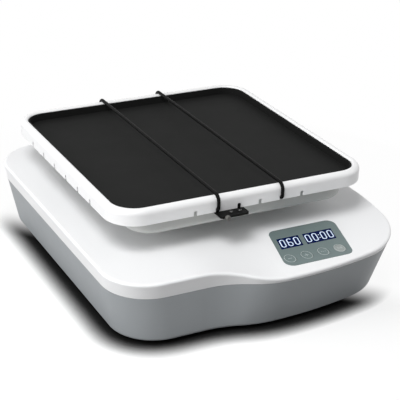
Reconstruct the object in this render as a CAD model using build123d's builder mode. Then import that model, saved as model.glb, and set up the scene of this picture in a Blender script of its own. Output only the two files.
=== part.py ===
from build123d import *
from math import atan2, cos, degrees, hypot, radians, sin, tan
import os

# Bench-top rocking platform shaker, in millimetres.  +X is to the right, +Y to the rear and
# +Z up; the origin is on the bench, under the middle of the base.  A gearmotor turns a short
# crank, the crank's roller works a slotted lever on a long rock shaft, and two arms on that
# shaft carry the tray through slots in the top cover.

# ---------------------------------------------------------------- heights, from the bench up
foot_height = 4.0
housing_height = 56.0
seam_gap = 0.3
cover_height = 18.7
pan_clearance = 21.0
pan_depth = 19.5
tray_floor = 3.0
mat_thickness = 2.5
rim_above_mat = 11.0
skirt_depth = 18.0

housing_bottom = foot_height
seam = housing_bottom + housing_height
cover_bottom = seam + seam_gap
cover_top = cover_bottom + cover_height
pan_bottom = cover_top + pan_clearance
tray_underside = pan_bottom + pan_depth
mat_bottom = tray_underside + tray_floor
mat_top = mat_bottom + mat_thickness
rim_top = mat_top + rim_above_mat
skirt_bottom = rim_top - skirt_depth

# ------------------------------------------------- base outline, seen from above, at 3 levels
side_floor, side_seam = 170.0, 181.0
back_floor, back_seam = 208.0, 216.0
front_floor, front_seam = 191.5, 195.0
nose_floor, nose_seam = 203.0, 217.0
cover_flare = 3.0
nose_flare = 6.5
side_top = side_seam + cover_flare
back_top = back_seam + cover_flare
front_top = front_seam + cover_flare
nose_top = nose_seam + nose_flare
floor_level = (side_floor, back_floor, front_floor, nose_floor)
seam_level = (side_seam, back_seam, front_seam, nose_seam)
top_level = (side_top, back_top, front_top, nose_top)
back_radius = 62.0
left_radius = 52.0
nose_radius = 75.0
bow_radius = 500.0
bow_angle = 13.0
wave_start = -80.0
wall = 3.0
housing_floor = 3.5
bottom_round = 4.0
crown_round = 2.5
crown_limit = 25.0
lip_depth = 3.0
lip_thickness = 1.5
lip_clearance = 0.4

# --------------------------------------------------------------- sloping nose of the cover
nose_angle = 6.5
slope_start = -83.0
slope_end = -119.0
blend_left = -95.0
blend_right = 5.0

# ------------------------------------------------------------------------- control panel
panel_x = 65.5
panel_y = -165.6
panel_width = 88.0
panel_length = 71.0
panel_lean = 12.0
panel_radius = 10.0
panel_thickness = 0.8
panel_clearance = 0.2
row_shift = -2.0
window_rise = 8.1
window_height = 20.5
speed_window_width = 28.5
timer_window_width = 38.5
window_spacing = 5.5
key_drop = 21.9
key_pitch = 21.6
key_radius = 7.0
key_clearance = 0.3
key_travel = 0.4
key_flange = 1.2
key_flange_height = 1.2
stem_radius = 2.0
key_edge = 0.3
key_names = ["minus", "plus", "mode", "start"]
press_gap = 0.1
window_ledge = 2.0
readout_clearance = 0.5
board_depth = 9.0
board_thickness = 1.6
board_width = 88.0
board_length = 69.0
board_post_inset = 3.5
board_post_radius = 3.5
board_pilot = 1.25
board_screw_length = 5.0
board_screw_head_radius = 2.5
board_screw_head = 1.6
switch_size = 6.0
switch_height = 3.5

# ------------------------------------------------------------------------ tray and straps
tray_y = 27.0
tray_opening_x = 300.0
tray_opening_y = 307.5
opening_radius = 25.0
rim_width = 11.25
liner_wall = 2.0
liner_clearance = 0.1
liner_drop = 2.0
skirt_wall = 2.5
rim_inner_wall = 2.0
rim_roof = 5.0
rim_round = 6.0
rim_inner_round = 2.5
notch_width = 4.4
notch_height = 6.0
side_notch_pitch = 36.4
front_notch_pitch = 27.0
notch_rows = 6
strap_radius = 2.0
strap_x = 40.5
strap_gap = 0.1
strap_tail = 6.0

# --------------------------------------------------------------------- platform structure
pan_x = 137.0
pan_y = 158.0
pan_radius = 30.0
pan_wall = 2.5
pan_round = 8.0
pan_screw_recess = 3.0
pan_window_x = 104.0
pan_window_y = 152.0
pan_post_x = 118.0
pan_post_y = 138.0
pan_post_radius = 5.0
carrier_x = 110.0
carrier_y = 125.0
carrier_thickness = 2.5
carrier_radius = 12.0
carrier_window_pitch = 140.0
carrier_window_x, carrier_window_y = 40.0, 150.0
tray_screw_x = 102.0
tray_screw_y = 105.0
tray_screw_length = 9.5
sink_radius = 4.0
nut_radius = 4.0
nut_thickness = 3.0
arm_spacing = 100.0
arm_thickness = 8.0
arm_boss_radius = 15.0
arm_boss_length = 18.0
arm_flange_x = 80.0
arm_flange_y = 30.0
arm_flange_thickness = 5.0
arm_web_x = 36.0
arm_window_radius = 10.0
arm_window_height = 90.0
arm_slot_play = 3.0
slot_lip = 3.0
arm_screw_x = 30.0
arm_screw_y = 10.0

# -------------------------------------------------------------------------- rocking drive
axis_height = 46.0
rock_angle = 7.0
shaft_radius = 8.0
shaft_length = 172.0
fit_clearance = 0.02
running_clearance = 0.05
bearing_radius = 16.0
bearing_width = 9.0
bearing_spacing = 150.0
block_width = 16.0
block_radius = 22.0
block_foot_x = 39.0
block_foot_height = 8.0
block_screw_x = 33.0
block_flare = 6.0
block_relief = 2.0
bearing_race = 2.0
bearing_groove = 1.0
chassis_thickness = 2.5
chassis_boss_height = 4.5
chassis_left, chassis_right = -70.0, 120.0
chassis_front, chassis_back = -72.0, 164.0
chassis_flange = 8.0
chassis_corner = 8.0
chassis_screw_inset = 10.0
chassis_window_x, chassis_window_y = 40.0, 90.0
chassis_window_centre = -18.0
yoke_reach = 70.0
crank_throw = yoke_reach * tan(radians(rock_angle))
roller_radius = 6.0
roller_width = 6.6
roller_bore = 3.05
yoke_play = 0.7
yoke_thickness = 8.0
yoke_rim = 7.0
yoke_hub_length = 20.0
yoke_hub_radius = 15.0
crank_gap = 1.0
crank_radius = 15.0
crank_thickness = 6.0
pin_radius = 3.0
pin_head_radius = 5.0
pin_head = 1.5
output_radius = 4.0
output_depth = 14.0
shaft_flat = 2.0
crank_chamfer = 1.0
shaft_chamfer = 1.0
yoke_window_x = 34.0
yoke_window_radius = 7.0
bracket_thickness = 4.0
bracket_gap = 4.0
bracket_half_width = 30.0
bracket_foot = 40.0
bracket_height = 56.0
bracket_corner = 3.0
bracket_screw_inset = 6.0
gear_screw_circle = 17.0
gear_screw_length = 8.0
gear_screw_gap = 1.0
gear_groove = 1.0
gear_groove_place = 24.0
gearbox_radius = 21.0
gearbox_length = 36.0
pilot_radius = 11.0
motor_radius = 19.0
motor_length = 56.0
motor_cap = 6.0
motor_end_radius = 5.5
motor_round = 3.0
terminal_width = 5.0
terminal_thickness = 1.25

# -------------------------------------------------------------------- rear service panel
service_x = -60.0
service_width = 120.0
service_height = 42.0
service_bottom = 11.0
service_y = 203.0
socket_x = -83.0
socket_width = 24.4
socket_height = 16.6
socket_depth = 15.0
socket_chamfer = 3.0
blade_width, blade_height, blade_length = 2.0, 4.0, 12.0
blade_spacing = 7.0
blade_drop = 2.0
inlet_screw_radius = 1.2
inlet_width = 28.0
inlet_height = 31.0
inlet_depth = 24.0
inlet_flange_x = 50.0
inlet_flange_y = 35.0
inlet_flange_thickness = 2.5
inlet_screw_x = 20.0
drawer_width = 22.0
drawer_height = 7.0
drawer_length = 20.0
drawer_clearance = 0.3
drawer_drop = 10.5
drawer_lip = 1.5
fuse_radius = 2.5
fuse_length = 19.0
fuse_cap = 5.0
socket_rise = 4.5
switch_x = -26.0
bezel_width = 21.0
bezel_height = 29.0
bezel_flange = 2.0
bezel_depth = 16.0
rocker_width = 14.0
rocker_height = 20.0
rocker_tilt = 8.0
rocker_front = 3.5
rocker_dip = 2.3
rocker_back = 6.0
rocker_half = 9.0
bezel_pocket = 11.0

# ----------------------------------------------------------------------- electronics bay
main_board_x, main_board_y = -112.0, 20.0
main_board_width, main_board_length = 66.0, 150.0
main_board_inset = 6.0
transformer_x, transformer_y = -112.0, 66.0
transformer_width, transformer_length, transformer_height = 46.0, 38.0, 30.0
core_width = 22.0
capacitor_radius, capacitor_height = 6.5, 22.0
capacitor_pitch = 18.0
connector_width, connector_length, connector_height = 10.0, 26.0, 9.0
connector_y = -28.0
connector_pitch = 24.0

# ---------------------------------------------------------------------------- strap clamp
clamp_left, clamp_right = -43.0, -8.0
clamp_back, clamp_front = 158.5, 179.5
clamp_thickness = 2.5
clamp_corner = 3.0
clamp_post_radius = 1.9
clamp_post_height = 4.4
clamp_screw_xs = (-27.0, -16.0)
clamp_screw_y = 171.0
clamp_screw_head_radius = 2.4
clamp_screw_radius = 1.2
thumb_x = -36.0
thumb_radius = 3.0
thumb_length = 4.0
thumb_chamfer = 0.6

# ------------------------------------------------------------------------ feet and screws
foot_inset = 42.0
foot_front = -150.0
foot_back = 165.0
foot_radius = 13.0
foot_recess = 1.5
foot_seat = 3.2
foot_taper = 1.5
vent_pitch = 12.0
vent_count = 6
vent_length = 40.0
vent_width = 4.0
screw_radius = 2.0
screw_head_radius = 3.6
screw_head = 2.4
pilot_hole = 2.15
column_radius = 6.0
column_height = 30.0
column_inset = 9.0
column_rows = (-105.0, 30.0, 150.0)
column_step = 1.0
cover_screw_length = 16.0
chassis_screw_length = 6.5
foot_screw_length = 8.0


def level_between(lower, upper, share):
    """Side, back, front and nose distances a share of the way from one level to another."""
    return tuple(low + (high - low) * share for low, high in zip(lower, upper))


def wall_level(z):
    """Distances of the housing's outer wall at height z."""
    return level_between(floor_level, seam_level, (z - housing_bottom) / housing_height)


def cover_level(z):
    """Distances of the cover's outer wall at height z."""
    return level_between(seam_level, top_level, (z - cover_bottom) / cover_height)


def base_outline(level, inset=0.0):
    """Plan of the base: round corners, and a front that waves forward into a bowed nose."""
    side, back, front, nose = (distance - inset for distance in level)
    rear_round = back_radius - inset
    left_round = left_radius - inset
    nose_round = nose_radius - inset
    nose_x = side - bow_radius * sin(radians(bow_angle)) - nose_round * (1 - sin(radians(bow_angle)))
    wave_x = (nose_x - wave_start) / 2
    wave_y = (nose - front) / 2
    wave_angle = 2 * degrees(atan2(wave_y, wave_x))
    wave_radius = hypot(wave_x, wave_y) / (2 * sin(radians(wave_angle / 2)))
    with BuildSketch(Plane.XY) as plan:
        with BuildLine():
            front_run = Line((left_round - side, -front), (wave_start, -front))
            wave_out = JernArc(front_run @ 1, (1, 0), wave_radius, -wave_angle)
            wave_in = JernArc(wave_out @ 1, wave_out % 1, wave_radius, wave_angle)
            bow = JernArc(wave_in @ 1, (1, 0), bow_radius, bow_angle)
            nose_corner = JernArc(bow @ 1, bow % 1, nose_round, 90 - bow_angle)
            right_run = Line(nose_corner @ 1, (side, back - rear_round))
            right_corner = JernArc(right_run @ 1, (0, 1), rear_round, 90)
            back_run = Line(right_corner @ 1, (rear_round - side, back))
            left_corner = JernArc(back_run @ 1, (-1, 0), rear_round, 90)
            left_run = Line(left_corner @ 1, (-side, left_round - front))
            JernArc(left_run @ 1, (0, -1), left_round, 90)
        make_face()
    return plan.sketch


def slope_profile(share, top):
    """Side profile of the space above the cover: flat, then dipping to the nose."""
    angle = radians(nose_angle * share)
    bend = (slope_start + slope_end) / 2
    reach = -nose_top - wall
    clear = top + cover_height
    with BuildSketch(Plane.XY) as profile:
        with BuildLine():
            dip = Bezier((slope_start, top), (bend, top), (slope_end, top - (bend - slope_end) * tan(angle)))
            Line(dip @ 1, (reach, top - (bend - reach) * tan(angle)))
            Line((reach, top - (bend - reach) * tan(angle)), (reach, clear))
            Line((reach, clear), (slope_start, clear))
            Line((slope_start, clear), dip @ 0)
        make_face()
    return profile.sketch


def space_above(top):
    """Everything above the crowned top surface at height top, with the nose dip blended in."""
    reach = side_top + wall
    blend = [(step / 4, (step / 4) ** 2 * (3 - step / 2)) for step in range(5)]
    flat, dipped = slope_profile(0.0, top), slope_profile(1.0, top)
    with BuildPart() as space:
        with BuildSketch(Plane.YZ.offset(-reach)):
            add(flat)
        extrude(amount=reach + blend_left)
        with BuildSketch(Plane.YZ.offset(blend_right)):
            add(dipped)
        extrude(amount=reach - blend_right)
        with BuildSketch(Plane.XY.offset(top)):
            with Locations((0, (slope_start + back_top + wall) / 2)):
                Rectangle(2 * reach, back_top + wall - slope_start)
        extrude(amount=cover_height)
    with BuildPart() as twist:
        for along, share in blend:
            with BuildSketch(Plane.YZ.offset(blend_left + (blend_right - blend_left) * along)):
                add(slope_profile(share, top))
        loft()
    return space.part + twist.part


def across(y):
    """A plane that faces the front at distance y: its x is X and its y is Z."""
    return Plane(origin=(0, y, 0), x_dir=(1, 0, 0), z_dir=(0, -1, 0))


def pan_screw(length, head_radius=screw_head_radius, head=screw_head, radius=screw_radius):
    """A screw whose head stands on the XY plane and whose shank points down."""
    with BuildPart(Plane.XY) as screw:
        with BuildSketch(Plane.XY):
            Circle(head_radius)
        extrude(amount=head)
        with BuildSketch(Plane.XY):
            Circle(radius)
        extrude(amount=-length)
    return screw.part


def outer_edges(faces):
    """The edges that bound a patch of faces: those that only one of its faces has."""
    edges = [edge for face in faces for edge in face.edges()]
    return [edge for edge in edges if sum(edge.is_same(other) for other in edges) == 1]


def corners(x, y, centre_y=0.0):
    """The four corners of a rectangle with half sizes x and y."""
    return [(sx * x, centre_y + sy * y) for sx in (-1, 1) for sy in (-1, 1)]


def leaning(width, height):
    """A four-sided shape of this width whose upright sides lean to the right."""
    with BuildSketch(Plane.XY) as slanted:
        Trapezoid(width + height * tan(radians(panel_lean)), height, 90 - panel_lean, 90 + panel_lean)
    return slanted.sketch


def row_x(rise):
    """Where the middle of a row of windows or keys lies, at this height up the panel."""
    return row_shift + rise * tan(radians(panel_lean))


nose_slope = tan(radians(nose_angle))
bend_y = (slope_start + slope_end) / 2
panel_plane = Plane(
    origin=(panel_x, panel_y, cover_top - (bend_y - panel_y) * nose_slope),
    x_dir=(1, 0, 0),
    z_dir=(0, -sin(radians(nose_angle)), cos(radians(nose_angle))),
)
windows_width = speed_window_width + window_spacing + timer_window_width
speed_window_x = row_x(window_rise) + (speed_window_width - windows_width) / 2
timer_window_x = row_x(window_rise) + (windows_width - timer_window_width) / 2
windows = [("speed", speed_window_x, speed_window_width), ("timer", timer_window_x, timer_window_width)]
key_row = row_x(-key_drop)
key_places = [(key_row + (i - 1.5) * key_pitch, -key_drop) for i in range(4)]
board_places = [(key_row + x, y) for x, y in corners(key_pitch, board_length / 2 - board_post_inset)]
column_x = side_floor - wall - column_inset
foot_x = side_floor - foot_inset
column_places = [(sx * column_x, y) for sx in (-1, 1) for y in column_rows]
foot_places = [(sx * foot_x, y) for sx in (-1, 1) for y in (foot_front, foot_back)]
floor_top = housing_bottom + housing_floor
chassis_bottom = floor_top + chassis_boss_height
chassis_top = chassis_bottom + chassis_thickness
chassis_x = (chassis_left + chassis_right) / 2
chassis_y = (chassis_front + chassis_back) / 2
chassis_places = [
    (chassis_x + x, chassis_y + y)
    for x, y in corners(
        (chassis_right - chassis_left) / 2 - chassis_screw_inset,
        (chassis_back - chassis_front) / 2 - chassis_screw_inset,
    )
]
service_z = service_bottom + service_height / 2
inlet_screw_places = [(socket_x - inlet_screw_x, service_z), (socket_x + inlet_screw_x, service_z)]
main_board_places = [
    (main_board_x + x, main_board_y + y)
    for x, y in corners(main_board_width / 2 - main_board_inset, main_board_length / 2 - main_board_inset)
]
os.makedirs("parts", exist_ok=True)

# ============================================================================ base housing
with BuildPart() as housing_space:
    for z in (floor_top, seam):
        with BuildSketch(Plane.XY.offset(z)):
            add(base_outline(wall_level(z), wall))
    loft(ruled=True)
    with BuildSketch(across(service_y - wall)):
        with Locations((service_x, service_z)):
            Rectangle(service_width + 2 * wall, service_height + 2 * wall)
    extrude(amount=service_y - wall - back_top, mode=Mode.SUBTRACT)
with BuildPart() as lower_housing:
    for z in (housing_bottom, seam):
        with BuildSketch(Plane.XY.offset(z)):
            add(base_outline(wall_level(z)))
    loft(ruled=True)
    fillet(lower_housing.faces().sort_by(Axis.Z)[0].edges(), bottom_round)
    add(housing_space.part, mode=Mode.SUBTRACT)
    with BuildSketch(Plane.XY.offset(floor_top)):
        with Locations(*chassis_places):
            Circle(column_radius)
    extrude(amount=chassis_boss_height)
    with BuildSketch(Plane.XY.offset(floor_top)):
        with Locations(*column_places):
            Circle(column_radius)
    extrude(amount=column_height)
    with BuildSketch(Plane.XY.offset(floor_top)):
        with Locations(*foot_places, *main_board_places):
            Circle(column_radius)
    extrude(amount=chassis_boss_height)
    with BuildSketch(Plane.XY.offset(floor_top)):
        with Locations(*main_board_places, *chassis_places):
            Circle(pilot_hole)
    extrude(amount=chassis_boss_height, mode=Mode.SUBTRACT)
    with BuildSketch(across(service_y)):
        with Locations((service_x, service_z)):
            RectangleRounded(service_width, service_height, wall)
    extrude(amount=service_y - back_top, mode=Mode.SUBTRACT)
    with BuildSketch(across(service_y)):
        with Locations((socket_x, service_z)):
            Rectangle(inlet_width + 2 * drawer_clearance, inlet_height + 2 * drawer_clearance)
        with Locations((switch_x, service_z)):
            Rectangle(bezel_width + 2 * drawer_clearance, bezel_height + 2 * drawer_clearance)
        with Locations(*inlet_screw_places):
            Circle(board_pilot)
    extrude(amount=wall, mode=Mode.SUBTRACT)
    with BuildSketch(Plane.XY.offset(housing_bottom)):
        with Locations(*foot_places):
            Circle(foot_radius + drawer_clearance)
    extrude(amount=foot_recess, mode=Mode.SUBTRACT)
    with BuildSketch(Plane.XY.offset(housing_bottom)):
        with Locations(*column_places):
            Circle(screw_head_radius + drawer_clearance)
    extrude(amount=housing_floor + column_height - cover_screw_length / 2, mode=Mode.SUBTRACT)
    with BuildSketch(Plane.XY.offset(housing_bottom)):
        with Locations(*column_places, *foot_places):
            Circle(pilot_hole)
    extrude(amount=housing_floor + column_height, mode=Mode.SUBTRACT)
    with BuildSketch(Plane.XY.offset(housing_bottom)):
        with GridLocations(vent_pitch, 0, vent_count, 1):
            SlotOverall(vent_length, vent_width, rotation=90)
    extrude(amount=housing_floor, mode=Mode.SUBTRACT)
lower_housing.part.label = "lower_housing"
export_step(lower_housing.part, "parts/lower_housing.step")

# =============================================================================== top cover
lip_level = wall_level(seam - lip_depth)
crown = space_above(cover_top)
crown_under = space_above(cover_top - wall)
arm_places = [(0, tray_y - arm_spacing / 2), (0, tray_y + arm_spacing / 2)]
arm_reach = cover_top + slot_lip - axis_height
flange_bottom = tray_underside - carrier_thickness - arm_flange_thickness
arm_half_x = arm_boss_radius + (arm_web_x - arm_boss_radius) * arm_reach / (flange_bottom - axis_height)
arm_slot_x = 2 * (arm_half_x + arm_reach * sin(radians(rock_angle)) + arm_slot_play)
arm_slot_y = arm_thickness + 2 * arm_slot_play
with BuildPart() as cover_space:
    for z in (cover_bottom, cover_top):
        with BuildSketch(Plane.XY.offset(z)):
            add(base_outline(cover_level(z), wall))
    loft(ruled=True)
    add(crown_under, mode=Mode.SUBTRACT)
with BuildPart() as upper_cover:
    for z in (cover_bottom, cover_top + wall):
        with BuildSketch(Plane.XY.offset(z)):
            add(base_outline(cover_level(z)))
    loft(ruled=True)
    add(crown, mode=Mode.SUBTRACT)
    crown_faces = [face for face in upper_cover.faces() if face.normal_at().Z > cos(radians(crown_limit))]
    fillet(outer_edges(crown_faces), crown_round)
    add(cover_space.part, mode=Mode.SUBTRACT)
    with BuildSketch(Plane.XY.offset(seam - lip_depth)):
        add(base_outline(lip_level, wall + lip_clearance))
        add(base_outline(lip_level, wall + lip_clearance + lip_thickness), mode=Mode.SUBTRACT)
    extrude(amount=lip_depth + seam_gap + lip_thickness)
    with BuildSketch(Plane.XY.offset(cover_bottom)):
        add(base_outline(seam_level, wall - lip_thickness))
        add(base_outline(seam_level, wall + lip_clearance + lip_thickness), mode=Mode.SUBTRACT)
    extrude(amount=lip_thickness)
    with BuildSketch(Plane.XY.offset(floor_top + column_height)):
        with Locations(*column_places):
            Circle(column_radius - column_step)
    extrude(amount=cover_top - wall / 2 - floor_top - column_height)
    with BuildSketch(Plane.XY.offset(floor_top + column_height)):
        with Locations(*column_places):
            Circle(pilot_hole)
    extrude(amount=cover_screw_length, mode=Mode.SUBTRACT)
    with BuildSketch(Plane.XY.offset(cover_top - wall)):
        with Locations(*arm_places):
            RectangleRounded(arm_slot_x + 2 * wall, arm_slot_y + 2 * wall, 2 * wall)
    extrude(amount=wall + slot_lip)
    with BuildSketch(Plane.XY.offset(cover_top - 2 * wall)):
        with Locations(*arm_places):
            RectangleRounded(arm_slot_x, arm_slot_y, wall)
    extrude(amount=3 * wall + slot_lip, mode=Mode.SUBTRACT)
    with BuildSketch(panel_plane.offset(-board_depth)):
        with Locations(*board_places):
            Circle(board_post_radius)
    extrude(amount=board_depth - wall / 2)
    with BuildSketch(panel_plane.offset(-board_depth)):
        with Locations(*board_places):
            Circle(board_pilot)
    extrude(amount=board_depth - wall, mode=Mode.SUBTRACT)
    with BuildSketch(panel_plane.offset(-panel_thickness)) as panel_seat:
        add(leaning(panel_width + 2 * panel_clearance, panel_length + 2 * panel_clearance))
        fillet(panel_seat.vertices(), panel_radius + panel_clearance)
    extrude(amount=panel_thickness + wall, mode=Mode.SUBTRACT)
    with BuildSketch(panel_plane.offset(-2 * wall)):
        for name, x, width in windows:
            with Locations((x, window_rise)):
                add(leaning(width - window_ledge, window_height - window_ledge))
        with Locations(*key_places):
            Circle(key_radius + key_clearance)
    extrude(amount=3 * wall, mode=Mode.SUBTRACT)
upper_cover.part.label = "upper_cover"
export_step(upper_cover.part, "parts/upper_cover.step")

# ==================================================================== control panel pieces
with BuildPart() as control_panel:
    with BuildSketch(panel_plane.offset(-panel_thickness)) as film:
        add(leaning(panel_width, panel_length))
        fillet(film.vertices(), panel_radius)
        for name, x, width in windows:
            with Locations((x, window_rise)):
                add(leaning(width + panel_clearance, window_height + panel_clearance), mode=Mode.SUBTRACT)
        with Locations(*key_places):
            Circle(key_radius + key_clearance, mode=Mode.SUBTRACT)
    extrude(amount=panel_thickness)
control_panel.part.label = "control_panel"
export_step(control_panel.part, "parts/control_panel.step")

readout_trim = window_ledge + 2 * readout_clearance
for name, x, width in windows:
    with BuildPart() as window:
        with BuildSketch(panel_plane.offset(-panel_thickness)):
            with Locations((x, window_rise)):
                add(leaning(width, window_height))
        extrude(amount=panel_thickness)
    window.part.label = f"{name}_window"
    export_step(window.part, f"parts/{name}_window.step")

    with BuildPart() as readout:
        with BuildSketch(panel_plane.offset(-board_depth)):
            with Locations((x, window_rise)):
                add(leaning(width - readout_trim, window_height - readout_trim))
        extrude(amount=board_depth - panel_thickness - readout_clearance)
    readout.part.label = f"{name}_readout"
    export_step(readout.part, f"parts/{name}_readout.step")

stem_bottom = switch_height + key_travel + press_gap - board_depth
flange_top = -wall - press_gap
for name, place in zip(key_names, key_places):
    with BuildPart() as key:
        with BuildSketch(panel_plane.offset(flange_top)):
            with Locations(place):
                Circle(key_radius)
        extrude(amount=-flange_top)
        fillet(key.faces().sort_by(Axis.Z)[-1].edges(), key_edge)
        with BuildSketch(panel_plane.offset(flange_top - key_flange_height)):
            with Locations(place):
                Circle(key_radius + key_flange)
        extrude(amount=key_flange_height)
        with BuildSketch(panel_plane.offset(stem_bottom)):
            with Locations(place):
                Circle(stem_radius)
        extrude(amount=flange_top - stem_bottom)
    key.part.label = f"{name}_key"
    export_step(key.part, f"parts/{name}_key.step")

with BuildPart() as display_board:
    with BuildSketch(panel_plane.offset(-board_depth)):
        with Locations((key_row, 0)):
            Rectangle(board_width, board_length)
        with Locations(*board_places):
            Circle(pilot_hole, mode=Mode.SUBTRACT)
    extrude(amount=-board_thickness)
display_board.part.label = "display_board"
export_step(display_board.part, "parts/display_board.step")

with BuildPart() as key_switches:
    with BuildSketch(panel_plane.offset(-board_depth)):
        with Locations(*key_places):
            Rectangle(switch_size, switch_size)
    extrude(amount=switch_height)
key_switches.part.label = "key_switches"
export_step(key_switches.part, "parts/key_switches.step")

board_screw = pan_screw(board_screw_length, board_screw_head_radius, board_screw_head, board_pilot - fit_clearance)
board_underside = panel_plane.offset(-board_depth - board_thickness)
with BuildPart() as display_screws:
    for x, y in board_places:
        seat = Plane(board_underside.from_local_coords((x, y, 0)), x_dir=(1, 0, 0), z_dir=-panel_plane.z_dir)
        with Locations(seat.location):
            add(board_screw)
display_screws.part.label = "display_screws"
export_step(display_screws.part, "parts/display_screws.step")

# ====================================================================== feet and fasteners
with BuildPart() as foot:
    with BuildSketch(Plane.XZ):
        with BuildLine():
            Polyline(
                (screw_radius + running_clearance, foot_seat),
                (screw_radius + running_clearance, foot_height + foot_recess),
                (foot_radius, foot_height + foot_recess),
                (foot_radius, foot_height / 2),
                (foot_radius - foot_taper, 0),
                (screw_head_radius + drawer_clearance, 0),
                (screw_head_radius + drawer_clearance, foot_seat),
                close=True,
            )
        make_face()
    revolve(axis=Axis.Z)
with BuildPart() as rubber_feet:
    with Locations(*foot_places):
        add(foot.part)
rubber_feet.part.label = "rubber_feet"
export_step(rubber_feet.part, "parts/rubber_feet.step")

foot_screw = pan_screw(foot_screw_length, radius=screw_radius)
with BuildPart() as foot_screws:
    with Locations(*[Location((x, y, foot_seat), (180, 0, 0)) for x, y in foot_places]):
        add(foot_screw)
foot_screws.part.label = "foot_screws"
export_step(foot_screws.part, "parts/foot_screws.step")

cover_screw = pan_screw(cover_screw_length, radius=screw_radius)
cover_screw_seat = floor_top + column_height - cover_screw_length / 2
with BuildPart() as cover_screws:
    with Locations(*[Location((x, y, cover_screw_seat), (180, 0, 0)) for x, y in column_places]):
        add(cover_screw)
cover_screws.part.label = "cover_screws"
export_step(cover_screws.part, "parts/cover_screws.step")

# ============================================================================ drive chassis
block_places = [(0, tray_y - bearing_spacing / 2), (0, tray_y + bearing_spacing / 2)]
block_screw_places = [(sx * block_screw_x, y) for sx in (-1, 1) for x, y in block_places]
bracket_y = tray_y + yoke_thickness / 2 + crank_gap + crank_thickness + bracket_gap
bracket_screw_places = [
    (yoke_reach + x, bracket_y + bracket_thickness + bracket_foot / 2 + y)
    for x, y in corners(bracket_half_width - bracket_screw_inset, bracket_foot / 2 - bracket_screw_inset)
]
with BuildPart() as chassis_plate:
    with BuildSketch(Plane.XY.offset(chassis_bottom)):
        with Locations((chassis_x, chassis_y)):
            RectangleRounded(chassis_right - chassis_left, chassis_back - chassis_front, chassis_corner)
        with Locations(*chassis_places, *block_screw_places, *bracket_screw_places):
            Circle(pilot_hole, mode=Mode.SUBTRACT)
        with Locations((chassis_window_centre, tray_y)):
            RectangleRounded(chassis_window_x, chassis_window_y, chassis_corner, mode=Mode.SUBTRACT)
    extrude(amount=chassis_thickness)
    with BuildSketch(Plane.XY.offset(chassis_top)):
        for edge_x in (chassis_left + chassis_thickness / 2, chassis_right - chassis_thickness / 2):
            with Locations((edge_x, chassis_y)):
                Rectangle(chassis_thickness, chassis_back - chassis_front - 2 * chassis_corner)
    extrude(amount=chassis_flange)
chassis_plate.part.label = "chassis_plate"
export_step(chassis_plate.part, "parts/chassis_plate.step")

chassis_screw = pan_screw(chassis_screw_length, radius=screw_radius)
with BuildPart() as chassis_screws:
    with Locations(*[(x, y, chassis_top) for x, y in chassis_places]):
        add(chassis_screw)
chassis_screws.part.label = "chassis_screws"
export_step(chassis_screws.part, "parts/chassis_screws.step")

with BuildPart() as bearing_blocks:
    for x, y in block_places:
        with BuildSketch(across(y - block_width / 2)):
            with Locations((0, chassis_top + block_foot_height / 2)):
                Rectangle(2 * block_foot_x, block_foot_height)
            with Locations((0, axis_height)):
                Circle(block_radius)
            with BuildLine():
                Polyline(
                    (-block_radius - block_flare, chassis_top + block_foot_height / 2),
                    (block_radius + block_flare, chassis_top + block_foot_height / 2),
                    (block_radius, axis_height),
                    (-block_radius, axis_height),
                    close=True,
                )
            make_face()
            with Locations((0, axis_height)):
                Circle(shaft_radius + block_relief, mode=Mode.SUBTRACT)
        extrude(amount=-block_width)
        with BuildSketch(across(y - block_width / 2)):
            with Locations((0, axis_height)):
                Circle(bearing_radius + fit_clearance)
        extrude(amount=-bearing_width, mode=Mode.SUBTRACT)
    with BuildSketch(Plane.XY.offset(chassis_top)):
        with Locations(*block_screw_places):
            Circle(pilot_hole)
    extrude(amount=block_foot_height, mode=Mode.SUBTRACT)
bearing_blocks.part.label = "bearing_blocks"
export_step(bearing_blocks.part, "parts/bearing_blocks.step")

with BuildPart() as shaft_bearings:
    for x, y in block_places:
        with BuildSketch(across(y - block_width / 2)):
            with Locations((0, axis_height)):
                Circle(bearing_radius)
                Circle(shaft_radius + running_clearance, mode=Mode.SUBTRACT)
        extrude(amount=-bearing_width)
        with BuildSketch(across(y - block_width / 2)):
            with Locations((0, axis_height)):
                Circle(bearing_radius - bearing_race)
                Circle(shaft_radius + bearing_race, mode=Mode.SUBTRACT)
        extrude(amount=-bearing_groove, mode=Mode.SUBTRACT)
shaft_bearings.part.label = "shaft_bearings"
export_step(shaft_bearings.part, "parts/shaft_bearings.step")

block_screw = pan_screw(block_foot_height + chassis_thickness, radius=screw_radius)
with BuildPart() as block_screws:
    with Locations(*[(x, y, chassis_top + block_foot_height) for x, y in block_screw_places]):
        add(block_screw)
block_screws.part.label = "block_screws"
export_step(block_screws.part, "parts/block_screws.step")

# ============================================================================ gearmotor
with BuildPart() as motor_bracket:
    with BuildSketch(across(bracket_y)):
        with Locations((yoke_reach, chassis_top + bracket_height / 2)):
            RectangleRounded(2 * bracket_half_width, bracket_height, bracket_corner)
        with Locations((yoke_reach, axis_height)):
            Circle(pilot_radius + fit_clearance, mode=Mode.SUBTRACT)
            with PolarLocations(gear_screw_circle, 4, start_angle=45):
                Circle(pilot_hole, mode=Mode.SUBTRACT)
    extrude(amount=-bracket_thickness)
    with BuildSketch(Plane.XY.offset(chassis_top)):
        with Locations((yoke_reach, bracket_y + (bracket_thickness + bracket_foot) / 2)):
            Rectangle(2 * bracket_half_width, bracket_thickness + bracket_foot)
        with Locations(*bracket_screw_places):
            Circle(pilot_hole, mode=Mode.SUBTRACT)
    extrude(amount=bracket_thickness)
motor_bracket.part.label = "motor_bracket"
export_step(motor_bracket.part, "parts/motor_bracket.step")

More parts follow.
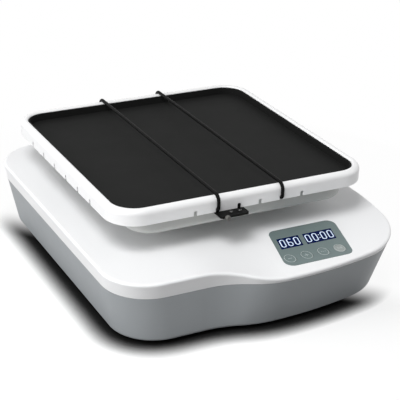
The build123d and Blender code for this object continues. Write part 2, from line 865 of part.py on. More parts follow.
bracket_screw = pan_screw(bracket_thickness + chassis_thickness, radius=screw_radius)
with BuildPart() as bracket_screws:
    with Locations(*[(x, y, chassis_top + bracket_thickness) for x, y in bracket_screw_places]):
        add(bracket_screw)
bracket_screws.part.label = "bracket_screws"
export_step(bracket_screws.part, "parts/bracket_screws.step")

gearbox_front = bracket_y + bracket_thickness
motor_front = gearbox_front + gearbox_length
with BuildPart() as gearbox:
    with BuildSketch(across(gearbox_front)):
        with Locations((yoke_reach, axis_height)):
            Circle(gearbox_radius)
    extrude(amount=-gearbox_length)
    with BuildSketch(across(gearbox_front)):
        with Locations((yoke_reach, axis_height)):
            Circle(pilot_radius)
    extrude(amount=bracket_thickness)
    with BuildSketch(across(bracket_y)):
        with Locations((yoke_reach, axis_height)):
            Circle(output_radius + running_clearance)
    extrude(amount=-output_depth - bracket_thickness - running_clearance, mode=Mode.SUBTRACT)
    with BuildSketch(across(gearbox_front)):
        with Locations((yoke_reach, axis_height)):
            with PolarLocations(gear_screw_circle, 4, start_angle=45):
                Circle(screw_radius + fit_clearance)
    extrude(amount=-gear_screw_length, mode=Mode.SUBTRACT)
    with BuildSketch(across(gearbox_front + gear_groove_place)):
        with Locations((yoke_reach, axis_height)):
            Circle(gearbox_radius + gear_groove)
            Circle(gearbox_radius - gear_groove, mode=Mode.SUBTRACT)
    extrude(amount=-gear_groove, mode=Mode.SUBTRACT)
gearbox.part.label = "gearbox"
export_step(gearbox.part, "parts/gearbox.step")

gear_screw = pan_screw(gear_screw_length + bracket_thickness - gear_screw_gap, radius=screw_radius)
with BuildPart() as gearbox_screws:
    with Locations(Location((yoke_reach, bracket_y, axis_height), (90, 0, 0))):
        with PolarLocations(gear_screw_circle, 4, start_angle=45):
            add(gear_screw)
gearbox_screws.part.label = "gearbox_screws"
export_step(gearbox_screws.part, "parts/gearbox_screws.step")

with BuildPart() as drive_motor:
    with BuildSketch(across(motor_front)):
        with Locations((yoke_reach, axis_height)):
            Circle(motor_radius)
    extrude(amount=-motor_length)
    fillet(drive_motor.faces().sort_by(Axis.Y)[-1].edges(), motor_round)
    with BuildSketch(across(motor_front + motor_length)):
        with Locations((yoke_reach, axis_height)):
            Circle(motor_end_radius)
        with Locations((yoke_reach - pilot_radius, axis_height), (yoke_reach + pilot_radius, axis_height)):
            Rectangle(terminal_width, terminal_thickness)
    extrude(amount=-motor_cap)
drive_motor.part.label = "drive_motor"
export_step(drive_motor.part, "parts/drive_motor.step")

# ============================================================================ crank
yoke_front = tray_y - yoke_thickness / 2
crank_front = tray_y + yoke_thickness / 2 + crank_gap
with BuildPart() as output_shaft:
    with BuildSketch(across(crank_front)):
        with Locations((yoke_reach, axis_height)):
            Circle(output_radius)
            with Locations((0, output_radius)):
                Rectangle(2 * output_radius, shaft_flat, mode=Mode.SUBTRACT)
    extrude(amount=-(gearbox_front + output_depth - crank_front))
output_shaft.part.label = "output_shaft"
export_step(output_shaft.part, "parts/output_shaft.step")

pin_x = yoke_reach + crank_throw
with BuildPart() as crank_disc:
    with BuildSketch(across(crank_front)):
        with Locations((yoke_reach, axis_height)):
            Circle(crank_radius)
            Circle(output_radius + fit_clearance, mode=Mode.SUBTRACT)
            with Locations((0, output_radius + fit_clearance)):
                Rectangle(2 * output_radius, shaft_flat)
        with Locations((pin_x, axis_height)):
            Circle(pin_radius + fit_clearance, mode=Mode.SUBTRACT)
    extrude(amount=-crank_thickness)
    chamfer(crank_disc.faces().sort_by(Axis.Y)[-1].outer_wire().edges(), crank_chamfer)
crank_disc.part.label = "crank_disc"
export_step(crank_disc.part, "parts/crank_disc.step")

with BuildPart() as crank_pin:
    with BuildSketch(across(crank_front + crank_thickness)):
        with Locations((pin_x, axis_height)):
            Circle(pin_radius)
    extrude(amount=crank_front + crank_thickness - yoke_front + crank_gap)
    with BuildSketch(across(yoke_front - crank_gap)):
        with Locations((pin_x, axis_height)):
            Circle(pin_head_radius)
    extrude(amount=pin_head)
crank_pin.part.label = "crank_pin"
export_step(crank_pin.part, "parts/crank_pin.step")

roller_front = tray_y - roller_width / 2
with BuildPart() as cam_roller:
    with BuildSketch(across(roller_front)):
        with Locations((pin_x, axis_height)):
            Circle(roller_radius)
            Circle(roller_bore, mode=Mode.SUBTRACT)
    extrude(amount=-roller_width)
cam_roller.part.label = "cam_roller"
export_step(cam_roller.part, "parts/cam_roller.step")

# ===================================================================== rock shaft and yoke
with BuildPart() as rock_shaft:
    with BuildSketch(across(tray_y - shaft_length / 2)):
        with Locations((0, axis_height)):
            Circle(shaft_radius)
    extrude(amount=-shaft_length)
    chamfer(rock_shaft.faces().filter_by(Axis.Y).edges(), shaft_chamfer)
rock_shaft.part.label = "rock_shaft"
export_step(rock_shaft.part, "parts/rock_shaft.step")

slot_radius = roller_radius + yoke_play
slot_reach = crank_throw + yoke_play
with BuildPart() as yoke_lever:
    with BuildSketch(across(tray_y - yoke_hub_length / 2)):
        with Locations((0, axis_height)):
            Circle(yoke_hub_radius)
    extrude(amount=-yoke_hub_length)
    with BuildSketch(across(yoke_front)):
        with BuildLine():
            Polyline(
                (0, axis_height - yoke_hub_radius),
                (yoke_reach - slot_reach, axis_height - slot_radius - yoke_rim),
                (yoke_reach - slot_reach, axis_height + slot_radius + yoke_rim),
                (0, axis_height + yoke_hub_radius),
                close=True,
            )
        make_face()
        with Locations((yoke_reach, axis_height)):
            SlotCenterToCenter(2 * slot_reach, 2 * (slot_radius + yoke_rim))
    extrude(amount=-yoke_thickness)
    with BuildSketch(across(yoke_front)):
        with Locations((yoke_reach, axis_height)):
            SlotCenterToCenter(2 * slot_reach, 2 * slot_radius)
        with Locations((yoke_window_x, axis_height)):
            Circle(yoke_window_radius)
    extrude(amount=-yoke_thickness, mode=Mode.SUBTRACT)
    with BuildSketch(across(tray_y - yoke_hub_length / 2)):
        with Locations((0, axis_height)):
            Circle(shaft_radius + fit_clearance)
    extrude(amount=-yoke_hub_length, mode=Mode.SUBTRACT)
yoke_lever.part.label = "yoke_lever"
export_step(yoke_lever.part, "parts/yoke_lever.step")

# ====================================================================== platform structure
carrier_bottom = tray_underside - carrier_thickness
arm_screw_places = [(x, y + dy) for x0, y in arm_places for x, dy in corners(arm_screw_x, arm_screw_y)]
tray_screw_places = corners(tray_screw_x, tray_screw_y, tray_y)
pan_post_places = corners(pan_post_x, pan_post_y, tray_y)
with BuildPart() as rocker_arms:
    for x, y in arm_places:
        with BuildSketch(across(y - arm_boss_length / 2)):
            with Locations((0, axis_height)):
                Circle(arm_boss_radius)
        extrude(amount=-arm_boss_length)
        with BuildSketch(across(y - arm_thickness / 2)):
            with BuildLine():
                Polyline(
                    (-arm_boss_radius, axis_height),
                    (arm_boss_radius, axis_height),
                    (arm_web_x, flange_bottom),
                    (-arm_web_x, flange_bottom),
                    close=True,
                )
            make_face()
            with Locations((0, arm_window_height)):
                Circle(arm_window_radius, mode=Mode.SUBTRACT)
        extrude(amount=-arm_thickness)
        with BuildSketch(across(y - arm_boss_length / 2)):
            with Locations((0, axis_height)):
                Circle(shaft_radius + fit_clearance)
        extrude(amount=-arm_boss_length, mode=Mode.SUBTRACT)
    with BuildSketch(Plane.XY.offset(flange_bottom)):
        with Locations(*arm_places):
            RectangleRounded(arm_flange_x, arm_flange_y, arm_flange_thickness)
        with Locations(*arm_screw_places):
            Circle(pilot_hole, mode=Mode.SUBTRACT)
    extrude(amount=arm_flange_thickness)
rocker_arms.part.label = "rocker_arms"
export_step(rocker_arms.part, "parts/rocker_arms.step")

arm_screw = pan_screw(arm_flange_thickness + carrier_thickness, radius=screw_radius)
with BuildPart() as arm_screws:
    with Locations(*[Location((x, y, flange_bottom), (180, 0, 0)) for x, y in arm_screw_places]):
        add(arm_screw)
arm_screws.part.label = "arm_screws"
export_step(arm_screws.part, "parts/arm_screws.step")

with BuildPart() as carrier_plate:
    with BuildSketch(Plane.XY.offset(carrier_bottom)):
        with Locations((0, tray_y)):
            RectangleRounded(2 * carrier_x, 2 * carrier_y, carrier_radius)
            with GridLocations(carrier_window_pitch, 0, 2, 1):
                RectangleRounded(carrier_window_x, carrier_window_y, carrier_radius, mode=Mode.SUBTRACT)
        with Locations(*arm_screw_places, *tray_screw_places):
            Circle(pilot_hole, mode=Mode.SUBTRACT)
    extrude(amount=carrier_thickness)
carrier_plate.part.label = "carrier_plate"
export_step(carrier_plate.part, "parts/carrier_plate.step")

with BuildPart() as under_pan:
    with BuildSketch(Plane.XY.offset(pan_bottom)):
        with Locations((0, tray_y)):
            RectangleRounded(2 * pan_x, 2 * pan_y, pan_radius)
    extrude(amount=pan_depth)
    fillet(under_pan.faces().sort_by(Axis.Z)[0].edges(), pan_round)
    with BuildSketch(Plane.XY.offset(pan_bottom + pan_wall)):
        with Locations((0, tray_y)):
            RectangleRounded(2 * (pan_x - pan_wall), 2 * (pan_y - pan_wall), pan_radius - pan_wall)
    extrude(amount=pan_depth, mode=Mode.SUBTRACT)
    with BuildSketch(Plane.XY.offset(pan_bottom + pan_wall)):
        with Locations(*pan_post_places):
            Circle(pan_post_radius)
    extrude(amount=pan_depth - pan_wall)
    with BuildSketch(Plane.XY.offset(pan_bottom)):
        with Locations((0, tray_y)):
            RectangleRounded(pan_window_x, pan_window_y, pan_post_radius)
        with Locations(*pan_post_places):
            Circle(pilot_hole)
    extrude(amount=pan_depth, mode=Mode.SUBTRACT)
    with BuildSketch(Plane.XY.offset(pan_bottom)):
        with Locations(*pan_post_places):
            Circle(screw_head_radius + drawer_clearance)
    extrude(amount=pan_screw_recess, mode=Mode.SUBTRACT)
under_pan.part.label = "under_pan"
export_step(under_pan.part, "parts/under_pan.step")

pan_fixing = pan_screw(pan_depth - pan_screw_recess + tray_floor / 2, radius=screw_radius)
with BuildPart() as pan_screws:
    with Locations(*[Location((x, y, pan_bottom + pan_screw_recess), (180, 0, 0)) for x, y in pan_post_places]):
        add(pan_fixing)
pan_screws.part.label = "pan_screws"
export_step(pan_screws.part, "parts/pan_screws.step")

# ============================================================================ tray
tray_x_outer = tray_opening_x + 2 * rim_width
tray_y_outer = tray_opening_y + 2 * rim_width
well = liner_wall + liner_clearance
inner_rim = well + rim_inner_wall
side_notches = [(i - (notch_rows - 1) / 2) * side_notch_pitch for i in range(notch_rows)]
front_notches = [(i - (notch_rows - 1) / 2) * front_notch_pitch for i in range(notch_rows)]
with BuildPart() as platform_tray:
    with BuildSketch(Plane.XY.offset(skirt_bottom)):
        with Locations((0, tray_y)):
            RectangleRounded(tray_x_outer, tray_y_outer, opening_radius + rim_width)
    extrude(amount=skirt_depth)
    fillet(platform_tray.faces().sort_by(Axis.Z)[-1].edges(), rim_round)
    with BuildSketch(Plane.XY.offset(mat_bottom)):
        with Locations((0, tray_y)):
            RectangleRounded(tray_opening_x + 2 * well, tray_opening_y + 2 * well, opening_radius + well)
    extrude(amount=rim_top - mat_bottom, mode=Mode.SUBTRACT)
    fillet(platform_tray.faces().sort_by(Axis.Z)[-1].inner_wires()[0].edges(), rim_inner_round)
    with BuildSketch(Plane.XY.offset(skirt_bottom)):
        with Locations((0, tray_y)):
            RectangleRounded(
                tray_x_outer - 2 * skirt_wall,
                tray_y_outer - 2 * skirt_wall,
                opening_radius + rim_width - skirt_wall,
            )
    extrude(amount=tray_underside - skirt_bottom, mode=Mode.SUBTRACT)
    with BuildSketch(Plane.XY.offset(skirt_bottom)):
        with Locations((0, tray_y)):
            RectangleRounded(
                tray_x_outer - 2 * skirt_wall,
                tray_y_outer - 2 * skirt_wall,
                opening_radius + rim_width - skirt_wall,
            )
            RectangleRounded(
                tray_opening_x + 2 * inner_rim,
                tray_opening_y + 2 * inner_rim,
                opening_radius + inner_rim,
                mode=Mode.SUBTRACT,
            )
    extrude(amount=skirt_depth - rim_roof, mode=Mode.SUBTRACT)
    for side in (-1, 1):
        with BuildSketch(Plane.YZ.offset(side * (tray_x_outer - skirt_wall) / 2)):
            with Locations(*[(tray_y + y, skirt_bottom) for y in side_notches]):
                SlotOverall(2 * notch_height, notch_width, rotation=90)
        extrude(amount=skirt_wall, both=True, mode=Mode.SUBTRACT)
        with BuildSketch(across(tray_y + side * (tray_y_outer - skirt_wall) / 2)):
            with Locations(*[(x, skirt_bottom) for x in front_notches]):
                SlotOverall(2 * notch_height, notch_width, rotation=90)
        extrude(amount=skirt_wall, both=True, mode=Mode.SUBTRACT)
    with BuildSketch(Plane.XY.offset(tray_underside)):
        with Locations(*pan_post_places):
            Circle(pilot_hole)
    extrude(amount=tray_floor, mode=Mode.SUBTRACT)
    with Locations(*[(x, y, mat_bottom) for x, y in tray_screw_places]):
        CounterSinkHole(pilot_hole, sink_radius + running_clearance, depth=tray_floor)
platform_tray.part.label = "platform_tray"
export_step(platform_tray.part, "parts/platform_tray.step")

with BuildPart() as sunk_screw:
    with BuildSketch(Plane.XZ):
        with BuildLine():
            Polyline(
                (0, 0),
                (sink_radius - running_clearance, 0),
                (screw_radius, screw_radius - sink_radius),
                (screw_radius, -tray_screw_length),
                (0, -tray_screw_length),
                close=True,
            )
        make_face()
    revolve(axis=Axis.Z)
with BuildPart() as tray_screws:
    with Locations(*[(x, y, mat_bottom - running_clearance) for x, y in tray_screw_places]):
        add(sunk_screw.part)
tray_screws.part.label = "tray_screws"
export_step(tray_screws.part, "parts/tray_screws.step")

with BuildPart() as tray_nuts:
    with BuildSketch(Plane.XY.offset(carrier_bottom)):
        with Locations(*tray_screw_places):
            RegularPolygon(nut_radius, 6)
            Circle(screw_radius + fit_clearance, mode=Mode.SUBTRACT)
    extrude(amount=-nut_thickness)
tray_nuts.part.label = "tray_nuts"
export_step(tray_nuts.part, "parts/tray_nuts.step")

with BuildPart() as rubber_mat:
    with BuildSketch(Plane.XY.offset(mat_bottom)):
        with Locations((0, tray_y)):
            RectangleRounded(
                tray_opening_x + 2 * liner_wall,
                tray_opening_y + 2 * liner_wall,
                opening_radius + liner_wall,
            )
    extrude(amount=mat_thickness + rim_above_mat - liner_drop)
    with BuildSketch(Plane.XY.offset(mat_top)):
        with Locations((0, tray_y)):
            RectangleRounded(tray_opening_x, tray_opening_y, opening_radius)
    extrude(amount=rim_above_mat, mode=Mode.SUBTRACT)
rubber_mat.part.label = "rubber_mat"
export_step(rubber_mat.part, "parts/rubber_mat.step")

# =========================================================================== elastic straps
outer_face = tray_y_outer / 2
strap_out = outer_face + strap_gap + strap_radius
strap_in = outer_face - skirt_wall - strap_gap - strap_radius
hook_radius = (strap_out - strap_in) / 2
hook_z = skirt_bottom + notch_height
rim_bend = rim_round + strap_gap + strap_radius
bend_centre = outer_face - rim_round
bend_z = rim_top - rim_round
for name, x in (("left", -strap_x), ("right", strap_x)):
    with BuildPart() as strap:
        with BuildLine(Plane.YZ.offset(x)):
            tail = Line((tray_y - strap_in, hook_z + strap_tail), (tray_y - strap_in, hook_z))
            hook = JernArc(tail @ 1, (0, -1), hook_radius, -180)
            rise = Line(hook @ 1, (tray_y - strap_out, bend_z))
            bend = JernArc(rise @ 1, (0, 1), rim_bend, -90)
            span = Line(bend @ 1, (tray_y + bend_centre, bend_z + rim_bend))
            far_bend = JernArc(span @ 1, (1, 0), rim_bend, -90)
            fall = Line(far_bend @ 1, (tray_y + strap_out, hook_z))
            far_hook = JernArc(fall @ 1, (0, -1), hook_radius, -180)
            Line(far_hook @ 1, (tray_y + strap_in, hook_z + strap_tail))
        with BuildSketch(Plane(origin=(x, tray_y - strap_in, hook_z + strap_tail), z_dir=(0, 0, -1))):
            Circle(strap_radius)
        sweep()
    strap.part.label = f"strap_{name}"
    export_step(strap.part, f"parts/strap_{name}.step")

clamp_top = skirt_bottom - strap_gap
with BuildPart() as strap_clamp:
    with BuildSketch(Plane.XY.offset(clamp_top)):
        with Locations(((clamp_left + clamp_right) / 2, tray_y - (clamp_back + clamp_front) / 2)):
            RectangleRounded(clamp_right - clamp_left, clamp_front - clamp_back, clamp_corner)
        with Locations(*[(x, tray_y - clamp_screw_y) for x in clamp_screw_xs]):
            Circle(clamp_screw_radius + fit_clearance, mode=Mode.SUBTRACT)
    extrude(amount=-clamp_thickness)
    with BuildSketch(Plane.XY.offset(clamp_top)):
        with Locations((-front_notch_pitch / 2, tray_y - outer_face + skirt_wall / 2)):
            Circle(clamp_post_radius)
    extrude(amount=clamp_post_height)
strap_clamp.part.label = "strap_clamp"
export_step(strap_clamp.part, "parts/strap_clamp.step")

clamp_screw = pan_screw(clamp_thickness, clamp_screw_head_radius, board_screw_head, clamp_screw_radius)
with BuildPart() as clamp_screws:
    with Locations(*[(x, tray_y - clamp_screw_y, clamp_top) for x in clamp_screw_xs]):
        add(clamp_screw)
clamp_screws.part.label = "clamp_screws"
export_step(clamp_screws.part, "parts/clamp_screws.step")

with BuildPart() as clamp_thumbscrew:
    with BuildSketch(across(tray_y - clamp_front)):
        with Locations((thumb_x, clamp_top - clamp_thickness / 2)):
            Circle(thumb_radius)
    extrude(amount=thumb_length)
    chamfer(clamp_thumbscrew.faces().sort_by(Axis.Y)[0].edges(), thumb_chamfer)
clamp_thumbscrew.part.label = "clamp_thumbscrew"
export_step(clamp_thumbscrew.part, "parts/clamp_thumbscrew.step")

# ====================================================================== rear service panel
socket_z = service_z + socket_rise
drawer_z = service_z - drawer_drop
inlet_face = service_y + inlet_flange_thickness
with BuildPart() as power_inlet:
    with BuildSketch(across(inlet_face)):
        with Locations((socket_x, service_z)):
            RectangleRounded(inlet_flange_x, inlet_flange_y, wall)
    extrude(amount=inlet_flange_thickness)
    with BuildSketch(across(service_y)):
        with Locations((socket_x, service_z)):
            Rectangle(inlet_width, inlet_height)
    extrude(amount=inlet_depth)
    with BuildSketch(across(inlet_face)):
        with Locations((socket_x, socket_z)):
            mouth = Rectangle(socket_width, socket_height)
        chamfer(mouth.vertices().group_by(Axis.Z)[-1], socket_chamfer)
    extrude(amount=socket_depth, mode=Mode.SUBTRACT)
    with BuildSketch(across(inlet_face)):
        with Locations((socket_x, drawer_z)):
            Rectangle(drawer_width + 2 * drawer_clearance, drawer_height + 2 * drawer_clearance)
    extrude(amount=drawer_length + drawer_clearance, mode=Mode.SUBTRACT)
    with BuildSketch(across(inlet_face)):
        with Locations(*inlet_screw_places):
            Circle(board_pilot)
    extrude(amount=inlet_flange_thickness, mode=Mode.SUBTRACT)
power_inlet.part.label = "power_inlet"
export_step(power_inlet.part, "parts/power_inlet.step")

with BuildPart() as inlet_blades:
    with BuildSketch(across(inlet_face - socket_depth)):
        with Locations(
            (socket_x - blade_spacing, socket_z - blade_drop),
            (socket_x, socket_z + blade_drop),
            (socket_x + blade_spacing, socket_z - blade_drop),
        ):
            Rectangle(blade_width, blade_height)
    extrude(amount=-blade_length)
inlet_blades.part.label = "inlet_blades"
export_step(inlet_blades.part, "parts/inlet_blades.step")

fuse_y = inlet_face - drawer_length / 2
with BuildPart() as fuse_drawer:
    with BuildSketch(across(inlet_face + drawer_lip)):
        with Locations((socket_x, drawer_z)):
            Rectangle(drawer_width, drawer_height)
    extrude(amount=drawer_length + drawer_lip)
    with BuildSketch(Plane.XY.offset(drawer_z - fuse_radius)):
        with Locations((socket_x, fuse_y)):
            Rectangle(fuse_length + 2 * drawer_clearance, 2 * (fuse_radius + drawer_clearance))
    extrude(amount=drawer_height, mode=Mode.SUBTRACT)
fuse_drawer.part.label = "fuse_drawer"
export_step(fuse_drawer.part, "parts/fuse_drawer.step")

with BuildPart() as fuse:
    with BuildSketch(Plane.YZ.offset(socket_x - fuse_length / 2)):
        with Locations((fuse_y, drawer_z)):
            Circle(fuse_radius)
    extrude(amount=fuse_length)
fuse.part.label = "fuse"
export_step(fuse.part, "parts/fuse.step")

inlet_screw = pan_screw(inlet_flange_thickness + wall, board_screw_head_radius, board_screw_head, inlet_screw_radius)
with BuildPart() as inlet_screws:
    with Locations(*[Location((x, inlet_face, z), (-90, 0, 0)) for x, z in inlet_screw_places]):
        add(inlet_screw)
inlet_screws.part.label = "inlet_screws"
export_step(inlet_screws.part, "parts/inlet_screws.step")

bezel_face = service_y + bezel_flange
with BuildPart() as switch_bezel:
    with BuildSketch(across(bezel_face)):
        with Locations((switch_x, service_z)):
            RectangleRounded(bezel_width + bezel_flange, bezel_height + bezel_flange, bezel_flange)
    extrude(amount=bezel_flange)
    with BuildSketch(across(service_y)):
        with Locations((switch_x, service_z)):
            Rectangle(bezel_width, bezel_height)
    extrude(amount=bezel_depth)
    with BuildSketch(across(bezel_face)):
        with Locations((switch_x, service_z)):
            Rectangle(rocker_width, rocker_height)
    extrude(amount=bezel_pocket, mode=Mode.SUBTRACT)
switch_bezel.part.label = "switch_bezel"
export_step(switch_bezel.part, "parts/switch_bezel.step")

rocker_plane = Plane(
    origin=(switch_x - rocker_width / 2 + drawer_clearance, bezel_face, service_z),
    x_dir=(0, cos(radians(rocker_tilt)), sin(radians(rocker_tilt))),
    z_dir=(1, 0, 0),
)
with BuildPart() as power_rocker:
    with BuildSketch(rocker_plane):
        with BuildLine():
            Polyline((rocker_front, rocker_half), (rocker_dip, 0), (rocker_front, -rocker_half))
            ThreePointArc((rocker_front, -rocker_half), (-rocker_back, 0), (rocker_front, rocker_half))
        make_face()
    extrude(amount=rocker_width - 2 * drawer_clearance)
power_rocker.part.label = "power_rocker"
export_step(power_rocker.part, "parts/power_rocker.step")

# ======================================================================== electronics bay
board_seat = floor_top + chassis_boss_height
board_face = board_seat + board_thickness
with BuildPart() as control_board:
    with BuildSketch(Plane.XY.offset(board_seat)):
        with Locations((main_board_x, main_board_y)):
            Rectangle(main_board_width, main_board_length)
        with Locations(*main_board_places):
            Circle(pilot_hole, mode=Mode.SUBTRACT)
    extrude(amount=board_thickness)
control_board.part.label = "control_board"
export_step(control_board.part, "parts/control_board.step")

main_board_screw = pan_screw(board_thickness + chassis_boss_height - running_clearance, radius=screw_radius)
with BuildPart() as control_board_screws:
    with Locations(*[(x, y, board_face) for x, y in main_board_places]):
        add(main_board_screw)
control_board_screws.part.label = "control_board_screws"
export_step(control_board_screws.part, "parts/control_board_screws.step")

with BuildPart() as power_transformer:
    with BuildSketch(Plane.XY.offset(board_face)):
        with Locations((transformer_x, transformer_y)):
            Rectangle(core_width, transformer_length)
    extrude(amount=transformer_height)
    with BuildSketch(Plane.XY.offset(board_face)):
        with Locations((transformer_x, transformer_y)):
            RectangleRounded(transformer_width, transformer_length - 2 * wall, wall)
    extrude(amount=transformer_height - wall)
power_transformer.part.label = "power_transformer"
export_step(power_transformer.part, "parts/power_transformer.step")

with BuildPart() as board_capacitors:
    with BuildSketch(Plane.XY.offset(board_face)):
        with Locations((main_board_x, main_board_y)):
            with GridLocations(capacitor_pitch, 0, 3, 1):
                Circle(capacitor_radius)
    extrude(amount=capacitor_height)
board_capacitors.part.label = "board_capacitors"
export_step(board_capacitors.part, "parts/board_capacitors.step")

with BuildPart() as board_connectors:
    with BuildSketch(Plane.XY.offset(board_face)):
        with Locations((main_board_x, connector_y)):
            with GridLocations(connector_pitch, 0, 2, 1):
                Rectangle(connector_width, connector_length)
    extrude(amount=connector_height)
board_connectors.part.label = "board_connectors"
export_step(board_connectors.part, "parts/board_connectors.step")
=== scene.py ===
# %% [markdown]
# # A bench-top rocking shaker
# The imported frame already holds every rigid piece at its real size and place.  This lesson
# gives those pieces their finishes, and adds the small things that are printed, knurled or
# lit: digits, key outlines, screw recesses and switch marks.
# We start by loading the frame and noting its box, because nothing may grow out of it.

from math import atan2, cos, pi, radians, sin, tan

import bmesh
import bpy
from mathutils import Matrix, Vector


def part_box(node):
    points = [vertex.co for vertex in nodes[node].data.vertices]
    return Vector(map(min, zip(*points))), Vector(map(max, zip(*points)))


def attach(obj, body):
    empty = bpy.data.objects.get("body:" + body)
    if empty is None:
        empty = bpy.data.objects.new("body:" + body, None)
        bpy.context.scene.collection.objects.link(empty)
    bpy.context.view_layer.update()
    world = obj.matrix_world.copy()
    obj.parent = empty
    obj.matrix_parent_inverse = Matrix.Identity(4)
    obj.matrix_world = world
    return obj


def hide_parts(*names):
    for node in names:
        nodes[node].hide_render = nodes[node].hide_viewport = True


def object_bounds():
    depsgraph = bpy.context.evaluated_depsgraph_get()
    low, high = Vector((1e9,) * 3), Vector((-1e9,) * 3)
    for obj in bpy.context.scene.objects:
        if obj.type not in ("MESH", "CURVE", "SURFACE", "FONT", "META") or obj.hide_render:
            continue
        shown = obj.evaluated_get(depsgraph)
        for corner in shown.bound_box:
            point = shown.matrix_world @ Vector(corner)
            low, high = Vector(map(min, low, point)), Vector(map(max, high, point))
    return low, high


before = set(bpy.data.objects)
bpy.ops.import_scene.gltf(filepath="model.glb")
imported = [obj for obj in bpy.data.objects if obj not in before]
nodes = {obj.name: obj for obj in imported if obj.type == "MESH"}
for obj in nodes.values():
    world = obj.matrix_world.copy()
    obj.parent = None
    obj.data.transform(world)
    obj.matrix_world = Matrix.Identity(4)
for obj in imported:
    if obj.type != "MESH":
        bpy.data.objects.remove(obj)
cad_low, cad_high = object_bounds()
mm = 0.001
print("pieces", len(nodes), "size", [round(h - l, 4) for l, h in zip(cad_low, cad_high)])

# %% [markdown]
# ## Camera
# A product shot of a low, wide machine is taken from a little above, with a long lens, so
# that the tray's edges stay nearly parallel.  A camera can be turned with three angles, but
# writing its own right, up and back directions as the columns of a matrix is easier to
# check: each one is a plain direction in the room.

# %% The camera
camera_place = Vector((-0.6190, -1.2009, 0.6890))
camera_right = Vector((0.8914, -0.4524, 0.0273))
camera_up = Vector((0.1673, 0.3845, 0.9079))
camera_back = Vector((-0.4212, -0.8047, 0.4184))
lens_mm = 109.68
sensor_mm = 36.0

camera_data = bpy.data.cameras.new("camera")
camera_data.lens = lens_mm
camera_data.sensor_width = sensor_mm
camera = bpy.data.objects.new("camera", camera_data)
turn = Matrix((camera_right, camera_up, camera_back)).transposed().to_4x4()
camera.matrix_world = Matrix.Translation(camera_place) @ turn
bpy.context.scene.collection.objects.link(camera)
bpy.context.scene.camera = camera
print("camera at", [round(v, 3) for v in camera.location])

# %% [markdown]
# ## Light
# The machine is white, so the light has to be gentle or its edges vanish.  A lamp above it, a
# little to the front left, lights the tops and gives the short soft shadow under the tray.  A
# broad low lamp on the left lights the left sides and reaches in under the tray, a weak one
# keeps the right side from going dark, and the sky fills the rest.  A level is the light that
# a lamp gives to a white card, so that colours come out about as they are written.

# %% Lamps
scene = bpy.context.scene
scene.view_settings.view_transform = "Standard"
middle = Vector(((cad_low[0] + cad_high[0]) / 2, (cad_low[1] + cad_high[1]) / 2, cad_high[2] / 2))


def lamp(name, direction, distance, size, level):
    """A square lamp that aims at the machine; level is the light it gives a facing white card."""
    data = bpy.data.lights.new(name, "AREA")
    data.size = size
    data.energy = level * pi ** 2 * distance ** 2
    piece = bpy.data.objects.new(name, data)
    towards = Vector(direction).normalized()
    piece.location = middle + towards * distance
    piece.rotation_euler = towards.to_track_quat("Z", "Y").to_euler()
    scene.collection.objects.link(piece)
    print(name, "at", [round(value, 2) for value in piece.location], "m, level", level)


lamp("top_lamp", (-0.42, -0.36, 0.87), 2.2, 0.9, 0.67)
lamp("right_lamp", (0.85, -0.25, 0.45), 2.4, 1.6, 0.16)
lamp("left_lamp", (-1.0, 0.0, 0.30), 2.4, 1.6, 0.53)

# %% [markdown]
# ## Writing shaders as sums
# A finish is a tree of nodes.  Adding each Math node by hand hides the idea, so a small
# class wraps a socket and lets ordinary operators add the nodes: `1 - mask` becomes one
# Subtract node.

# %% A wrapped socket


class Wire:
    """A shader value that plain arithmetic can be done on."""

    def __init__(self, tree, socket):
        self.tree = tree
        self.socket = socket

    def maths(self, operation, *values):
        node = self.tree.nodes.new("ShaderNodeMath")
        node.operation = operation
        for place, value in zip(node.inputs, values):
            if isinstance(value, Wire):
                self.tree.links.new(value.socket, place)
            else:
                place.default_value = value
        return Wire(self.tree, node.outputs[0])

    def __add__(self, other):
        return self.maths("ADD", self, other)

    def __radd__(self, other):
        return self.maths("ADD", other, self)

    def __sub__(self, other):
        return self.maths("SUBTRACT", self, other)

    def __rsub__(self, other):
        return self.maths("SUBTRACT", other, self)

    def __mul__(self, other):
        return self.maths("MULTIPLY", self, other)

    def __rmul__(self, other):
        return self.maths("MULTIPLY", other, self)

    def below(self, limit):
        return self.maths("LESS_THAN", self, limit)

    def above(self, limit):
        return self.maths("GREATER_THAN", self, limit)

    def at_least(self, limit):
        return self.maths("MAXIMUM", self, limit)

    def wave(self):
        return self.maths("SINE", self)


# %% [markdown]
# ## One way to add a node
# Every other node comes from one method, which takes its type, its settings, and the values
# or links of its sockets by their names.  Finishes, the sky and the trees that make shapes
# all build on it.  It can also tell which rays only look at the background, because the sky
# and the floor show those something brighter than what lights the machine.

# %% A tree that nodes are added to


class Nodes:
    """A node tree, and one short way to add a node to it."""

    def __init__(self, tree):
        self.tree = tree

    def add(self, kind, settings=(), **values):
        """Adds a node: its settings first, then the values or links of its sockets."""
        node = self.tree.nodes.new(kind)
        for name, value in dict(settings).items():
            setattr(node, name, value)
        for name, value in values.items():
            self.feed(node.inputs[name.replace("_", " ")], value)
        return node

    def feed(self, socket, value):
        """Links a wire or another node's socket to this socket, or writes a plain value on it."""
        if isinstance(value, Wire):
            value = value.socket
        if isinstance(value, bpy.types.NodeSocket):
            self.tree.links.new(value, socket)
        else:
            socket.default_value = value

    def wire(self, node, output=0):
        """One output of a node, ready for arithmetic."""
        return Wire(self.tree, node.outputs[output])

    def sees_background(self):
        """1 for the rays that look at the background, and 0 for those that light the machine."""
        path = self.add("ShaderNodeLightPath")
        camera_ray, mirror_ray, glass_ray = [
            self.wire(path, "Is " + kind + " Ray") for kind in ("Camera", "Glossy", "Transmission")
        ]
        return camera_ray.at_least(mirror_ray).at_least(glass_ray)


